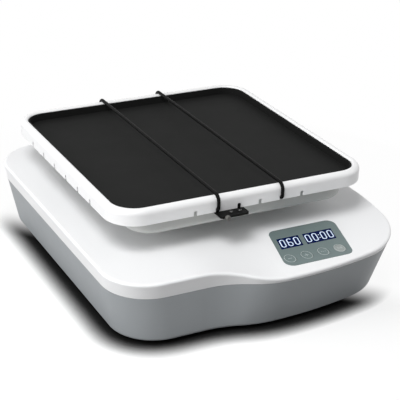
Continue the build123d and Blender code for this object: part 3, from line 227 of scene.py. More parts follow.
# %% [markdown]
# ## A finish
# A `Finish` is a material with one main shader.  It adds the few things that the finishes
# share, each as one short call: noise, a coordinate, a mix of two colours and a bump.

# %% A material and its textures


class Finish(Nodes):
    """A material with one main shader, and short ways to add textures to it."""

    def __init__(self, name):
        self.material = bpy.data.materials.new(name)
        self.material.use_nodes = True
        super().__init__(self.material.node_tree)
        self.shader = self.tree.nodes["Principled BSDF"]
        self.place = self.wire(self.add("ShaderNodeTexCoord"), "Object")

    def grain(self, scale, detail=2.0, rough=0.5, place=None):
        """Soft noise from 0 to 1, with features of about 1 / scale metres."""
        noise = self.add(
            "ShaderNodeTexNoise", Vector=place or self.place, Scale=scale, Detail=detail, Roughness=rough
        )
        return self.wire(noise, "Fac")

    def stretched(self, factors):
        """Object coordinates, stretched, so that a grain runs along one direction."""
        return self.wire(self.add("ShaderNodeMapping", Vector=self.place, Scale=factors), "Vector")

    def part(self, axis):
        """One coordinate of the point, in metres."""
        return self.wire(self.add("ShaderNodeSeparateXYZ", Vector=self.place), axis)

    def between(self, factor, first, second):
        """A colour that goes from first to second as factor goes from 0 to 1."""
        mix = self.add("ShaderNodeMix", {"data_type": "RGBA"}, Factor=factor)
        for socket, colour in ((mix.inputs[6], first), (mix.inputs[7], second)):
            self.feed(socket, colour if isinstance(colour, Wire) else (*colour, 1.0))
        return self.wire(mix, 2)

    def set(self, **values):
        """Sets the main shader's sockets, by their names with _ for a space."""
        for name, value in values.items():
            if isinstance(value, tuple) and len(value) == 3:
                value = (*value, 1.0)
            self.feed(self.shader.inputs[name.replace("_", " ")], value)

    def bump(self, height, depth):
        """Bumps the surface by a height of 0 to 1, whose full size is depth metres."""
        node = self.add("ShaderNodeBump", Height=height, Distance=depth, Strength=1.0)
        self.feed(self.shader.inputs["Normal"], node.outputs["Normal"])


# %% [markdown]
# ## The sky
# The sky is a Mix of two Backgrounds: camera, mirror and glass rays get plain white, and all
# other rays get the weak fill light.  So the background is white, while the light that falls
# on the machine stays gentle.

# %% The sky
fill_level = 0.26
white = (1.0, 1.0, 1.0)

world = bpy.data.worlds.new("sky")
scene.world = world
world.use_nodes = True
sky = Nodes(world.node_tree)
fill = sky.tree.nodes["Background"]
sky.feed(fill.inputs["Color"], (*white, 1.0))
sky.feed(fill.inputs["Strength"], fill_level)
seen = sky.add("ShaderNodeBackground", Color=(*white, 1.0), Strength=1.0)
either = sky.add("ShaderNodeMixShader", Fac=sky.sees_background())
sky.feed(either.inputs[1], fill.outputs[0])
sky.feed(either.inputs[2], seen.outputs[0])
sky.feed(sky.tree.nodes["World Output"].inputs["Surface"], either.outputs[0])
print("sky of", len(sky.tree.nodes), "nodes, fill", fill_level)

# %% [markdown]
# ## The colour of the floor
# The floor is matt.  The camera sees it white, but it throws back the light of a grey floor,
# because a white one would brighten the machine from below.  Where the floor is nearly
# touched, Ambient Occlusion paints a dark contact shadow into the colour the camera sees.

# %% The colour of the floor
floor_throws_back = (0.28, 0.28, 0.28)
# the colour of the painted contact shadow on the floor
painted_contact_shadow = (0.01, 0.01, 0.01)
contact_reach = 0.030
contact_samples = 16

floor_finish = Finish("pale_floor")
seen_ray = floor_finish.sees_background()
# painted shadow: Ambient Occlusion darkens the floor's colour where the machine nearly touches it
contact = floor_finish.add(
    "ShaderNodeAmbientOcclusion", {"samples": contact_samples}, Distance=contact_reach
)
openness = (floor_finish.wire(contact, "AO") * 2.0 - 1.0).at_least(0.0)
seen_floor = floor_finish.between(openness * openness, painted_contact_shadow, white)
floor_finish.set(
    Base_Color=floor_finish.between(seen_ray, floor_throws_back, seen_floor),
    Roughness=1.0,
    Specular_IOR_Level=0.0,
)
print("floor touched within", round(contact_reach / mm), "mm")

# %% [markdown]
# ## The floor fades to white
# Away from the machine the floor turns into pure white, so that no horizon shows.  Towards
# its painted white side, at the machine's rear and right, white is painted over the real
# shadow nearly at once, so that the soft shadow shows only in front.  Both fades are smooth
# steps, and the stronger of the two wins.

# %% The floor
floor_size = 6.0
shadow_reach = 0.25
fade_width = 0.24
# towards this side of the machine, white is painted over the real shadow on the floor
painted_white_side = Vector((0.74, 0.67))
side_start, side_end = -0.055, 0.007
# the share of the real shadow that is painted out with white on that side
shadow_painted_out_share = 0.95


def fades(value, start, end):
    """0 up to start, 1 from end on, and a smooth step between them."""
    step = floor_finish.add(
        "ShaderNodeMapRange", {"interpolation_type": "SMOOTHSTEP"},
        Value=value, From_Min=start, From_Max=end,
    )
    return floor_finish.wire(step, "Result")


length = floor_finish.add("ShaderNodeVectorMath", {"operation": "LENGTH"}, Vector=floor_finish.place)
from_middle = floor_finish.wire(length, "Value")
towards_white_side = floor_finish.part("X") * painted_white_side.x + floor_finish.part("Y") * painted_white_side.y
# the second fade paints white over the real shadow at the rear and right
whitened = fades(from_middle, shadow_reach, shadow_reach + fade_width).at_least(
    fades(towards_white_side, side_start, side_end) * shadow_painted_out_share
)
glow = floor_finish.add("ShaderNodeEmission", Color=(*white, 1.0), Strength=1.0)
blend = floor_finish.add("ShaderNodeMixShader", Fac=whitened * seen_ray)
floor_finish.feed(blend.inputs[1], floor_finish.shader.outputs[0])
floor_finish.feed(blend.inputs[2], glow.outputs[0])
floor_finish.feed(floor_finish.tree.nodes["Material Output"].inputs["Surface"], blend.outputs[0])

bpy.ops.mesh.primitive_plane_add(size=floor_size)
floor = bpy.context.active_object
floor.name = "floor"
floor.data.materials.append(floor_finish.material)
print("floor", floor_size, "m, shadow kept to", shadow_reach + fade_width, "m")

# %% [markdown]
# ## White moulded plastic
# The cover and the tray are moulded in a satin white.  Three faint things keep it from
# looking like plaster: the spark-eroded grain that the mould leaves, a very slow change of
# tone from wall thickness, and a gloss that isn't quite even.

# %% White plastic
mould_grain = 1500.0
wall_patches = 9.0
gloss_patches = 60.0
gloss_spread = 0.10


def moulded(name, colour, shade, gloss, depth):
    """Moulded plastic: colour with slow patches of shade, uneven gloss and fine grain."""
    finish = Finish(name)
    finish.set(
        Base_Color=finish.between(finish.grain(wall_patches), shade, colour),
        Roughness=gloss + gloss_spread * finish.grain(gloss_patches, 3.0),
        Coat_Weight=0.12,
        Coat_Roughness=0.25,
    )
    finish.bump(finish.grain(mould_grain, 3.0), depth)
    return finish


white_cover = moulded("white_cover", (0.895, 0.900, 0.908), (0.875, 0.880, 0.892), 0.34, 0.010 * mm)
white_tray = moulded("white_tray", (0.900, 0.903, 0.908), (0.880, 0.884, 0.892), 0.26, 0.006 * mm)
print("white plastic:", white_cover.material.name, white_tray.material.name)

# %% [markdown]
# ## Grey moulded plastic
# The lower housing is a cool mid grey with a coarser grain, which hides scratches.  Its
# bottom edge is scuffed by the bench, so a thin band there is a little lighter and rougher:
# a mask made from the height of the point and some noise.

# %% Grey plastic
scuff_height = 2.5 * mm
scuff_ragged = 6.0 * mm
scuff_spots = 140.0
housing_grain = 1300.0
scuff_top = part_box("lower_housing")[0][2] + scuff_height

grey_housing = Finish("grey_housing")
tone = grey_housing.between(grey_housing.grain(11.0), (0.315, 0.335, 0.350), (0.345, 0.365, 0.380))
scuffs = (grey_housing.part("Z") + scuff_ragged * grey_housing.grain(scuff_spots, 4.0)).below(scuff_top)
grey_housing.set(
    Base_Color=grey_housing.between(scuffs, tone, (0.375, 0.395, 0.410)),
    Roughness=0.42 + 0.12 * grey_housing.grain(70.0, 3.0) + 0.15 * scuffs,
)
grey_housing.bump(grey_housing.grain(housing_grain, 3.0), 0.020 * mm)
print("grey plastic:", grey_housing.material.name, "scuffed up to", round(scuff_top / mm, 1), "mm")

# %% [markdown]
# ## Rubber and elastic
# The mat is black rubber, moulded with a pebble so fine that it only softens the light.  The
# scale of a noise is how many features fit in a metre, so pebbles of about a millimetre and a
# half have a scale of 700.  The straps are elastic cord: rubber in a braided sleeve.  The
# braid is two sets of slanted waves.  The sum Y + Z runs along the cord on the flat and down
# its ends alike.

# %% Rubber and elastic
mat_pebbles = 700.0
dust_patches = 25.0
foot_grain = 1500.0

mat_rubber = Finish("mat_rubber")
pebble = mat_rubber.add(
    "ShaderNodeTexVoronoi", {"feature": "F1"}, Vector=mat_rubber.place, Scale=mat_pebbles
)
dust = mat_rubber.grain(dust_patches, 5.0, 0.6)
mat_rubber.set(
    Base_Color=mat_rubber.between(dust, (0.0060, 0.0062, 0.0060), (0.0095, 0.0098, 0.0095)),
    Roughness=0.66 + 0.16 * dust,
    Specular_IOR_Level=0.11,
)
mat_rubber.bump(mat_rubber.wire(pebble, "Distance"), 0.06 * mm)

foot_rubber = Finish("foot_rubber")
bloom = foot_rubber.grain(300.0, 4.0)
foot_rubber.set(
    Base_Color=foot_rubber.between(bloom, (0.014, 0.014, 0.015), (0.035, 0.035, 0.036)),
    Roughness=0.75 + 0.15 * foot_rubber.grain(500.0),
)
foot_rubber.bump(foot_rubber.grain(foot_grain), 0.04 * mm)

braid_pitch = 1.6 * mm
braid = Finish("braided_elastic")
along = (braid.part("Y") + braid.part("Z")) * (2 * pi / braid_pitch)
around = braid.part("X") * (2 * pi / braid_pitch)
over = (along + around).wave() * (along - around).wave() * 0.5 + 0.5
braid.set(
    Base_Color=braid.between(over, (0.001, 0.001, 0.001), (0.004, 0.004, 0.004)),
    Roughness=0.55 - 0.15 * over,
    Specular_IOR_Level=0.07,
)
braid.bump(over, 0.12 * mm)
print("elastic braid every", round(braid_pitch / mm, 1), "mm")

# %% [markdown]
# ## Metals
# Turned and sheet metals differ mostly in how their fine scratches run.  Stretching the
# coordinates before the noise makes streaks; the same streaks feed the gloss and a faint
# bump.

# %% Metals
streak_scale = 40.0
streak_gloss = 0.18
streak_shade = 0.8


def metal(name, colour, gloss, stretch, depth, metallic=1.0):
    """Metal with streaks that run the way the tool went: a small stretch is along a streak."""
    finish = Finish(name)
    streak = finish.grain(streak_scale, 4.0, place=finish.stretched(stretch))
    dull = tuple(streak_shade * part for part in colour)
    finish.set(
        Base_Color=finish.between(streak, dull, colour),
        Roughness=gloss + streak_gloss * streak,
        Metallic=metallic,
    )
    finish.bump(streak, depth)
    return finish


screw_steel = metal("screw_steel", (0.62, 0.63, 0.64), 0.22, (30.0, 30.0, 4.0), 0.004 * mm)
blackened_steel = metal("blackened_steel", (0.075, 0.075, 0.075), 0.26, (30.0, 30.0, 4.0), 0.004 * mm)
shaft_steel = metal("shaft_steel", (0.60, 0.61, 0.62), 0.18, (4.0, 60.0, 4.0), 0.003 * mm)
zinc_sheet = metal("zinc_sheet", (0.58, 0.60, 0.60), 0.34, (10.0, 10.0, 10.0), 0.004 * mm)
cast_aluminium = metal("cast_aluminium", (0.64, 0.65, 0.66), 0.40, (14.0, 14.0, 14.0), 0.03 * mm)
brass_blade = metal("brass_blade", (0.72, 0.55, 0.25), 0.22, (60.0, 4.0, 60.0), 0.003 * mm)
black_metal = metal("black_coated", (0.003, 0.003, 0.003), 0.40, (40.0, 40.0, 40.0), 0.02 * mm, 0.0)
black_metal.set(Specular_IOR_Level=0.08)
knob_plastic = metal("knob_plastic", (0.115, 0.112, 0.104), 0.30, (30.0, 30.0, 30.0), 0.01 * mm, 0.0)
gear_housing = metal("gear_housing", (0.30, 0.31, 0.32), 0.42, (20.0, 20.0, 20.0), 0.03 * mm, 0.6)
print("finishes so far", len(bpy.data.materials))

# %% [markdown]
# ## Small plastics, board and glass
# What is left is inside or at the back: black moulded inlet and switch, green boards, the
# pale nylon roller, the windings' dark varnish and the little glass fuse.  They get the same
# treatment, with colours of their own.

# %% Small plastics, board and glass
black_moulded = moulded("black_moulded", (0.022, 0.022, 0.024), (0.014, 0.014, 0.016), 0.36, 0.02 * mm)
pan_plastic = moulded("pan_plastic", (0.56, 0.57, 0.555), (0.52, 0.53, 0.515), 0.42, 0.02 * mm)
roller_nylon = moulded("roller_nylon", (0.78, 0.76, 0.70), (0.72, 0.70, 0.63), 0.38, 0.01 * mm)
dark_varnish = moulded("dark_varnish", (0.035, 0.033, 0.036), (0.020, 0.019, 0.021), 0.28, 0.03 * mm)

track_scale = 240.0
track_share = 0.56

green_board = Finish("green_board")
tracks = green_board.grain(track_scale, 1.0).above(track_share)
green_board.set(
    Base_Color=green_board.between(tracks, (0.010, 0.095, 0.045), (0.030, 0.190, 0.085)),
    Roughness=0.34 + 0.1 * tracks,
)
green_board.bump(tracks, 0.03 * mm)

fuse_glass = Finish("fuse_glass")
fuse_glass.set(
    Base_Color=fuse_glass.between(fuse_glass.grain(300.0), (0.80, 0.84, 0.84), (0.90, 0.93, 0.93)),
    Roughness=0.08,
    Alpha=0.5 + 0.1 * fuse_glass.grain(200.0),
)
print("finishes so far", len(bpy.data.materials))

# %% [markdown]
# ## The control panel
# The panel is a printed film: grey, satin, with a faint embossed grain.  The two windows
# are dark blue and clear, and glow a little round their digits.  The keys are the same film
# as the panel; only the last one is printed in a paler grey.

# %% Panel finishes
panel_green_grey = (0.152, 0.200, 0.199)
film_patches = 35.0
film_gloss_patches = 90.0
film_grain = 2200.0


def film(name, colour, gain):
    """Printed film with a fine embossed grain; gain is the tone of its darker patches."""
    finish = Finish(name)
    darker = tuple(part * gain for part in colour)
    finish.set(
        Base_Color=finish.between(finish.grain(film_patches, 3.0), darker, colour),
        Roughness=0.36 + 0.12 * finish.grain(film_gloss_patches, 3.0),
    )
    finish.bump(finish.grain(film_grain), 0.01 * mm)
    return finish


panel_film = film("panel_film", panel_green_grey, 0.93)
key_film = film("key_film", panel_green_grey, 0.97)
pale_key_film = film("pale_key_film", (0.300, 0.330, 0.322), 0.94)
print_ink = film("print_ink", (0.57, 0.62, 0.61), 0.94)

window_blue = Finish("window_blue")
cloud = window_blue.grain(120.0, 2.0)
window_blue.set(
    Base_Color=window_blue.between(cloud, (0.001, 0.003, 0.018), (0.003, 0.006, 0.030)),
    Roughness=0.20 + 0.05 * cloud,
    Specular_IOR_Level=0.06,
    Emission_Color=window_blue.between(cloud, (0.0005, 0.003, 0.026), (0.002, 0.006, 0.045)),
    Emission_Strength=1.0,
)

digit_light = Finish("digit_light")
flicker = digit_light.grain(400.0, 2.0)
digit_light.set(
    Base_Color=digit_light.between(flicker, (0.50, 0.62, 0.80), (0.56, 0.68, 0.86)),
    Roughness=0.4,
    Emission_Color=digit_light.between(flicker, (0.66, 0.74, 0.98), (0.80, 0.87, 1.0)),
    Emission_Strength=0.30,
)
print("finishes in all", len(bpy.data.materials))

# %% [markdown]
# ## Giving the finishes to the pieces
# Each piece of the frame keeps its shape and gets its finish in its own material slot.

# %% Dress the frame's pieces
dress = {
    white_cover: ["upper_cover"],
    white_tray: ["platform_tray"],
    grey_housing: ["lower_housing"],
    panel_film: ["control_panel"],
    key_film: ["minus_key", "plus_key", "mode_key"],
    pale_key_film: ["start_key"],
    window_blue: ["speed_window", "timer_window", "speed_readout", "timer_readout"],
    mat_rubber: ["rubber_mat"],
    foot_rubber: ["rubber_feet"],
    braid: ["strap_left", "strap_right"],
    black_metal: ["strap_clamp"],
    knob_plastic: ["clamp_thumbscrew"],
    screw_steel: [
        "clamp_screws", "foot_screws", "cover_screws", "chassis_screws", "block_screws",
        "bracket_screws", "gearbox_screws", "control_board_screws", "display_screws",
        "arm_screws", "pan_screws", "tray_screws", "tray_nuts", "inlet_screws",
    ],
    shaft_steel: ["rock_shaft", "output_shaft", "crank_disc", "crank_pin", "shaft_bearings"],
    zinc_sheet: ["chassis_plate", "carrier_plate", "motor_bracket"],
    cast_aluminium: ["bearing_blocks", "rocker_arms", "yoke_lever"],
    gear_housing: ["gearbox"],
    dark_varnish: ["drive_motor", "power_transformer", "board_capacitors"],
    roller_nylon: ["cam_roller"],
    pan_plastic: ["under_pan"],
    black_moulded: [
        "power_inlet", "fuse_drawer", "switch_bezel", "power_rocker", "key_switches",
        "board_connectors",
    ],
    brass_blade: ["inlet_blades"],
    green_board: ["display_board", "control_board"],
    fuse_glass: ["fuse"],
}
for finish, names in dress.items():
    for name in names:
        piece = nodes[name]
        if not piece.material_slots:
            piece.data.materials.append(None)
        for slot in piece.material_slots:
            slot.material = finish.material
dressed = {name for names in dress.values() for name in names}
print("undressed:", sorted(set(nodes) - dressed))

# %% [markdown]
# ## Trees that make shapes
# Geometry Nodes can repeat a shape or sweep it along a path.  `Graph` wraps such a tree in
# the way that `Finish` wraps a material.  Its inputs have names, so that a modifier can be
# told the sizes, and what it grows is turned into a plain mesh at once.

# %% Node trees for shapes


class Graph(Nodes):
    """A Geometry Nodes tree with named inputs."""

    def __init__(self, name, inputs):
        super().__init__(bpy.data.node_groups.new(name, "GeometryNodeTree"))
        self.tree.is_modifier = True
        for way in ("INPUT", "OUTPUT"):
            self.tree.interface.new_socket("Geometry", in_out=way, socket_type="NodeSocketGeometry")
        for label, kind in inputs.items():
            self.tree.interface.new_socket(label, in_out="INPUT", socket_type="NodeSocket" + kind)
        self.given = self.tree.nodes.new("NodeGroupInput").outputs

    def finish(self, geometry):
        """Ends the tree with real geometry in one material."""
        real = self.add("GeometryNodeRealizeInstances", Geometry=geometry)
        coated = self.add(
            "GeometryNodeSetMaterial", Geometry=real.outputs[0], Material=self.given["Material"]
        )
        self.feed(self.add("NodeGroupOutput").inputs[0], coated.outputs[0])

    def grow(self, piece, **values):
        """Runs the tree on a piece and leaves the result as the piece's plain mesh."""
        modifier = piece.modifiers.new(self.tree.name, "NODES")
        modifier.node_group = self.tree
        for item in self.tree.interface.items_tree:
            label = item.name.replace(" ", "_")
            if item.in_out == "INPUT" and label in values:
                modifier[item.identifier] = values[label]
        bpy.context.view_layer.update()
        graph = bpy.context.evaluated_depsgraph_get()
        mesh = bpy.data.meshes.new_from_object(piece.evaluated_get(graph))
        piece.modifiers.clear()
        piece.data = mesh


# %% [markdown]
# ## Strokes of print
# The digits, the key outlines and the small signs are all the same thing: strokes of one
# width, laid flat on a face.  So each is drawn as a few edges in its own flat frame, and one
# small tree sweeps a flat bar along them.

# %% A tree that sweeps flat strokes
strokes = Graph("flat_strokes", {"Width": "Float", "Height": "Float", "Material": "Material"})
drawn = strokes.given
line = strokes.add("GeometryNodeMeshToCurve", Mesh=drawn["Geometry"])
level_line = strokes.add("GeometryNodeSetCurveNormal", {"mode": "Z_UP"}, Curve=line.outputs[0])
section = strokes.add(
    "GeometryNodeCurvePrimitiveQuadrilateral", Width=drawn["Width"], Height=drawn["Height"]
)
bars = strokes.add(
    "GeometryNodeCurveToMesh", Fill_Caps=True,
    Curve=level_line.outputs[0], Profile_Curve=section.outputs[0],
)
strokes.finish(bars.outputs[0])
print("stroke tree of", len(strokes.tree.nodes), "nodes")

# %% [markdown]
# ## Where a face is
# Print has to lie exactly on its face.  The nose of the cover slopes, so the direction and
# the middle of a face are worked out from the mesh of its node, and come back as one matrix:
# across, up the slope, and out of the face.

# %% A frame on one face of a node
face_step = 0.02 * mm


def box_corners(points):
    """The lowest and the highest corner of the box round some points."""
    return [Vector([pick(point[axis] for point in points) for axis in range(3)]) for pick in (min, max)]


def face_frame(name, facing=(0.0, 0.0, 1.0), slack=0.9):
    """A matrix with its origin in the middle of the face of a node that faces a direction."""
    mesh = nodes[name].data
    facing = Vector(facing)
    faces = [face for face in mesh.polygons if face.normal.dot(facing) > slack]
    out = sum((face.normal * face.area for face in faces), Vector()).normalized()
    corners = [mesh.vertices[index].co for face in faces for index in face.vertices]
    level = max(corner.dot(out) for corner in corners)
    rim = [corner for corner in corners if level - corner.dot(out) < face_step]
    low, high = box_corners(rim)
    middle = (low + high) / 2
    middle += out * (level - middle.dot(out))
    side = Vector((-1.0, 0.0, 0.0)) if facing.y > 0.5 else Vector((1.0, 0.0, 0.0))
    side = (side - out * side.dot(out)).normalized()
    frame_matrix = Matrix((side, out.cross(side), out)).transposed().to_4x4()
    frame_matrix.translation = middle
    return frame_matrix


# %% [markdown]
# ## Printing on a face
# A sign comes as paths of points in the flat frame of its face.  They become the edges of a
# mesh, the tree sweeps them into bars, and only then does the matrix put them on the face.

# %% Printing on a face
print_height = 0.10 * mm


def printed(name, paths, width, place, finish, body):
    """Strokes along paths of (points, closed), in metres in the frame of a face."""
    points, edges = [], []
    for path, closed in paths:
        first = len(points)
        points += [(u, v, 0.0) for u, v in path]
        edges += [(first + step, first + step + 1) for step in range(len(path) - 1)]
        if closed:
            edges.append((len(points) - 1, first))
    mesh = bpy.data.meshes.new(name)
    mesh.from_pydata(points, edges, [])
    piece = bpy.data.objects.new(name, mesh)
    scene.collection.objects.link(piece)
    strokes.grow(piece, Width=width, Height=print_height, Material=finish.material)
    piece.data.transform(place)
    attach(piece, body)
    print(name, len(piece.data.polygons), "faces, at height", round(place.translation.z / mm, 1), "mm")


# %% [markdown]
# ## The shapes of the digits
# The display shows a speed and a time in plain digits.  A nought is a loop with its corners
# cut, as on such displays, and a six is one open stroke.

# %% The shapes of the digits
digit_width = 5.2 * mm
digit_height = 13.6 * mm
digit_cut = 1.5 * mm
digit_stroke = 1.40 * mm
colon_rise = 2.7 * mm


def nought():
    """A loop with cut corners."""
    x, y, cut = digit_width / 2, digit_height / 2, digit_cut
    quarter = [(x - cut, y), (x, y - cut)]
    right = quarter + [(u, -v) for u, v in reversed(quarter)]
    return [(right + [(-u, v) for u, v in reversed(right)], True)]


def six():
    """An open stroke, from the upper right round to the closed lower loop."""
    x, y, cut = digit_width / 2, digit_height / 2, digit_cut
    down = [(x, y - cut), (x - cut, y), (-x + cut, y), (-x, y - cut), (-x, -y + cut), (-x + cut, -y)]
    back = [(x - cut, -y), (x, -y + cut), (x, -cut), (x - cut, 0.0), (-x, 0.0)]
    return [(down + back, False)]


def colon():
    """Two short square strokes."""
    half = digit_stroke / 2
    heights = (-colon_rise, colon_rise)
    return [([(0.0, height - half), (0.0, height + half)], False) for height in heights]


# %% [markdown]
# ## Rows of digits
# A row is centred on its window, with more room at the colon.  The digits lean with their
# windows, so every point is moved sideways in proportion to its height.

# %% Rows of digits
digit_lean = radians(12.0)
digit_pitch = 9.1 * mm
colon_room = 2.0 * mm


def row_of(glyphs):
    """Glyphs at their places along a row, centred, and leaning; each is (shape, place)."""
    centre = (glyphs[0][1] + glyphs[-1][1]) / 2
    row = []
    for shape, place in glyphs:
        for path, closed in shape:
            moved = [(u + place - centre + v * tan(digit_lean), v) for u, v in path]
            row.append((moved, closed))
    return row


half_row = digit_pitch / 2 + colon_room / 2
speed_row = row_of([(nought(), 0.0), (six(), digit_pitch), (nought(), 2 * digit_pitch)])
timer_row = row_of([
    (nought(), -half_row - digit_pitch), (nought(), -half_row), (colon(), 0.0),
    (nought(), half_row), (nought(), half_row + digit_pitch),
])
for shown, row in (("speed", speed_row), ("timer", timer_row)):
    face = face_frame(shown + "_window")
    printed(shown + "_digits", row, digit_stroke, face, digit_light, "base")

# %% [markdown]
# ## The keys
# Each key has a thin pale outline and a sign.  The outline is a closed path of short edges,
# a little narrower than it is high, which the same tree sweeps.  Outline and sign are one
# piece on each key, and ride on that key, so that they go down with it.

# %% Rings, dashes and the size of a key
ring_narrow = 0.86
ring_steps = 48
key_round = 0.05 * mm


def ring(radius):
    """A closed path round a key, a little narrower than it is high."""
    turns = [2 * pi * step / ring_steps for step in range(ring_steps)]
    return ([(ring_narrow * radius * cos(turn), radius * sin(turn)) for turn in turns], True)


def dash(u, v, reach, upright=False):
    """A straight stroke about a point."""
    ends = [(u, v - reach), (u, v + reach)] if upright else [(u - reach, v), (u + reach, v)]
    return (ends, False)


def top_radius(name, face):
    """The radius of the flat top of a key, from the points that lie level with its face."""
    middle, out = face.translation, face.col[2].xyz
    corners = [vertex.co for vertex in nodes[name].data.vertices]
    return max((co - middle).cross(out).length for co in corners if (middle - co).dot(out) < key_round)


# %% Key outlines and signs
ring_margin = 0.9 * mm
sign_stroke = 0.48 * mm
sign_reach = 2.5 * mm
dot_reach = 0.6 * mm
start_half = 1.7 * mm
arrow_back, arrow_tip = -2.2 * mm, 0.4 * mm
pause_bars = (1.5 * mm, 2.7 * mm)

arrow = ([(arrow_back, -start_half), (arrow_back, start_half), (arrow_tip, 0.0)], True)
key_signs = {
    "minus": [dash(0.0, 0.0, sign_reach)],
    "plus": [dash(0.0, 0.0, sign_reach), dash(0.0, 0.0, sign_reach, upright=True)],
    "mode": [dash(step * sign_reach, 0.0, dot_reach) for step in (-1, 0, 1)],
    "start": [arrow] + [dash(place, 0.0, start_half, upright=True) for place in pause_bars],
}
for key, signs in key_signs.items():
    face = face_frame(key + "_key")
    outline = ring(top_radius(key + "_key", face) - ring_margin / 2)
    printed(
        key + "_print", signs + [outline], sign_stroke, face, print_ink, key + "_button"
    )

# %% [markdown]
# ## The marks on the power switch
# A rocker says which way is on with a stroke and a ring, one on each half.  The halves meet
# in a shallow V, so each mark is laid on its own face: the ring on the upright upper half,
# the stroke on the lower half, which looks up a little.

# %% Rocker marks
rocker_mark = 2.4 * mm
rocker_stroke = 0.7 * mm
rocker_lift = radians(15.6)
same_face = 0.995
rocker_halves = {
    "off": (0.0, ring(rocker_mark)),
    "on": (rocker_lift, dash(0.0, 0.0, rocker_mark, upright=True)),
}
for side, (lift, mark) in rocker_halves.items():
    face = face_frame("power_rocker", (0.0, cos(lift), sin(lift)), same_face)
    printed("rocker_" + side, [mark], rocker_stroke, face, print_ink, "power_switch")

# %% [markdown]
# ## Turned solids
# A screw and a knob are turned on a lathe, and so are their meshes: rings of points about an
# axis, joined by faces.  Where a ring has shrunk to a point on the axis, its corners fall
# together and the face is a triangle.

# %% Turned solids


def turned(name, profile, steps=28):
    """A closed solid turned about Z from (radius, height) points that start and end on the axis."""
    rings, points, faces = [], [], []
    for radius, height in profile:
        count = steps if radius > 0 else 1
        rings.append([len(points) + step for step in range(count)])
        points += [
            (radius * cos(2 * pi * step / count), radius * sin(2 * pi * step / count), height)
            for step in range(count)
        ]
    for low, high in zip(rings, rings[1:]):
        for step in range(steps):
            here = (step % len(low), step % len(high))
            there = ((step + 1) % len(low), (step + 1) % len(high))
            corners = [low[here[0]], low[there[0]], high[there[1]], high[here[1]]]
            faces.append(list(dict.fromkeys(corners)))
    mesh = bpy.data.meshes.new(name)
    mesh.from_pydata(points, [], faces)
    build = bmesh.new()
    build.from_mesh(mesh)
    bmesh.ops.recalc_face_normals(build, faces=build.faces)
    build.to_mesh(mesh)
    build.free()
    return mesh


# %% [markdown]
# ## A screw blank
# Every screw that shows is a pan head with a cross recess, in two sizes.  The crown of the
# head is given as shares of its radius and height, so both sizes come from one list.

# %% A screw blank
head_crown = [(0.50, 1.0), (0.80, 0.86), (0.96, 0.60), (1.0, 0.30), (1.0, 0.0)]


def screw_blank(radius, head, shank, length):
    """A pan head on a shank with a blunt tip, its head standing on the level of Z = 0."""
    profile = [(0.0, head)] + [(radius * across, head * up) for across, up in head_crown]
    tip = head - length
    profile += [(shank, 0.0), (shank, tip + shank / 2), (shank / 2, tip), (0.0, tip)]
    blank = bpy.data.objects.new("screw_blank", turned("screw_blank", profile))
    scene.collection.objects.link(blank)
    return blank


# %% [markdown]
# ## Where the screws are
# One node of the frame holds all the screws of a kind as separate solids.  Walking from
# point to point along the edges of a merged copy finds each solid, and its box is enough to
# know where the screw stands, how long it is and how wide its head is.

# %% Loose solids
merge_reach = 0.001 * mm


def loose_solids(name):
    """The lowest and highest corner of each separate solid of a node."""
    build = bmesh.new()
    build.from_mesh(nodes[name].data)
    bmesh.ops.remove_doubles(build, verts=build.verts, dist=merge_reach)
    left, boxes = set(build.verts), []
    while left:
        to_visit, island = [left.pop()], []
        while to_visit:
            vertex = to_visit.pop()
            island.append(vertex.co.copy())
            for edge in vertex.link_edges:
                other = edge.other_vert(vertex)
                if other in left:
                    left.remove(other)
                    to_visit.append(other)
        boxes.append(box_corners(island))
    build.free()
    return boxes


# %% [markdown]
# ## Cutting the recess and placing the screws
# A second tree cuts two crossed slots out of the blank and puts a copy on each point of the
# mesh that it is given.  The cut is made once and then copied, which is much quicker than a
# cut for each screw.

# %% A tree that cuts the recess and places the screws
screw_tree = Graph("cross_screws", {
    "Screw": "Object", "Turn": "Rotation", "Slot Length": "Float", "Slot Width": "Float",
    "Slot Depth": "Float", "Head Top": "Float", "Material": "Material",
})
asked = screw_tree.given
blank = screw_tree.add("GeometryNodeObjectInfo", Object=asked["Screw"])
head_middle = screw_tree.add("ShaderNodeCombineXYZ", Z=asked["Head Top"])
cut = screw_tree.add(
    "GeometryNodeMeshBoolean", {"operation": "DIFFERENCE", "solver": "EXACT"},
    Mesh_1=blank.outputs["Geometry"],
)
for first, second in (("Slot Length", "Slot Width"), ("Slot Width", "Slot Length")):
    size = screw_tree.add("ShaderNodeCombineXYZ", X=asked[first], Y=asked[second], Z=asked["Slot Depth"])
    bar = screw_tree.add("GeometryNodeMeshCube", Size=size.outputs[0])
    slot = screw_tree.add(
        "GeometryNodeTransform", Geometry=bar.outputs[0], Translation=head_middle.outputs[0]
    )
    screw_tree.feed(cut.inputs["Mesh 2"], slot.outputs[0])
copies = screw_tree.add(
    "GeometryNodeInstanceOnPoints", Points=asked["Geometry"],
    Instance=cut.outputs[0], Rotation=asked["Turn"],
)
screw_tree.finish(copies.outputs[0])
print("screw tree of", len(screw_tree.tree.nodes), "nodes")

# %% [markdown]
# ## The screws that show
# The slots are given as shares of the head too.  Each group's blank is as long and as wide as
# the screws that were measured, and its copies then stand for that node of the frame.

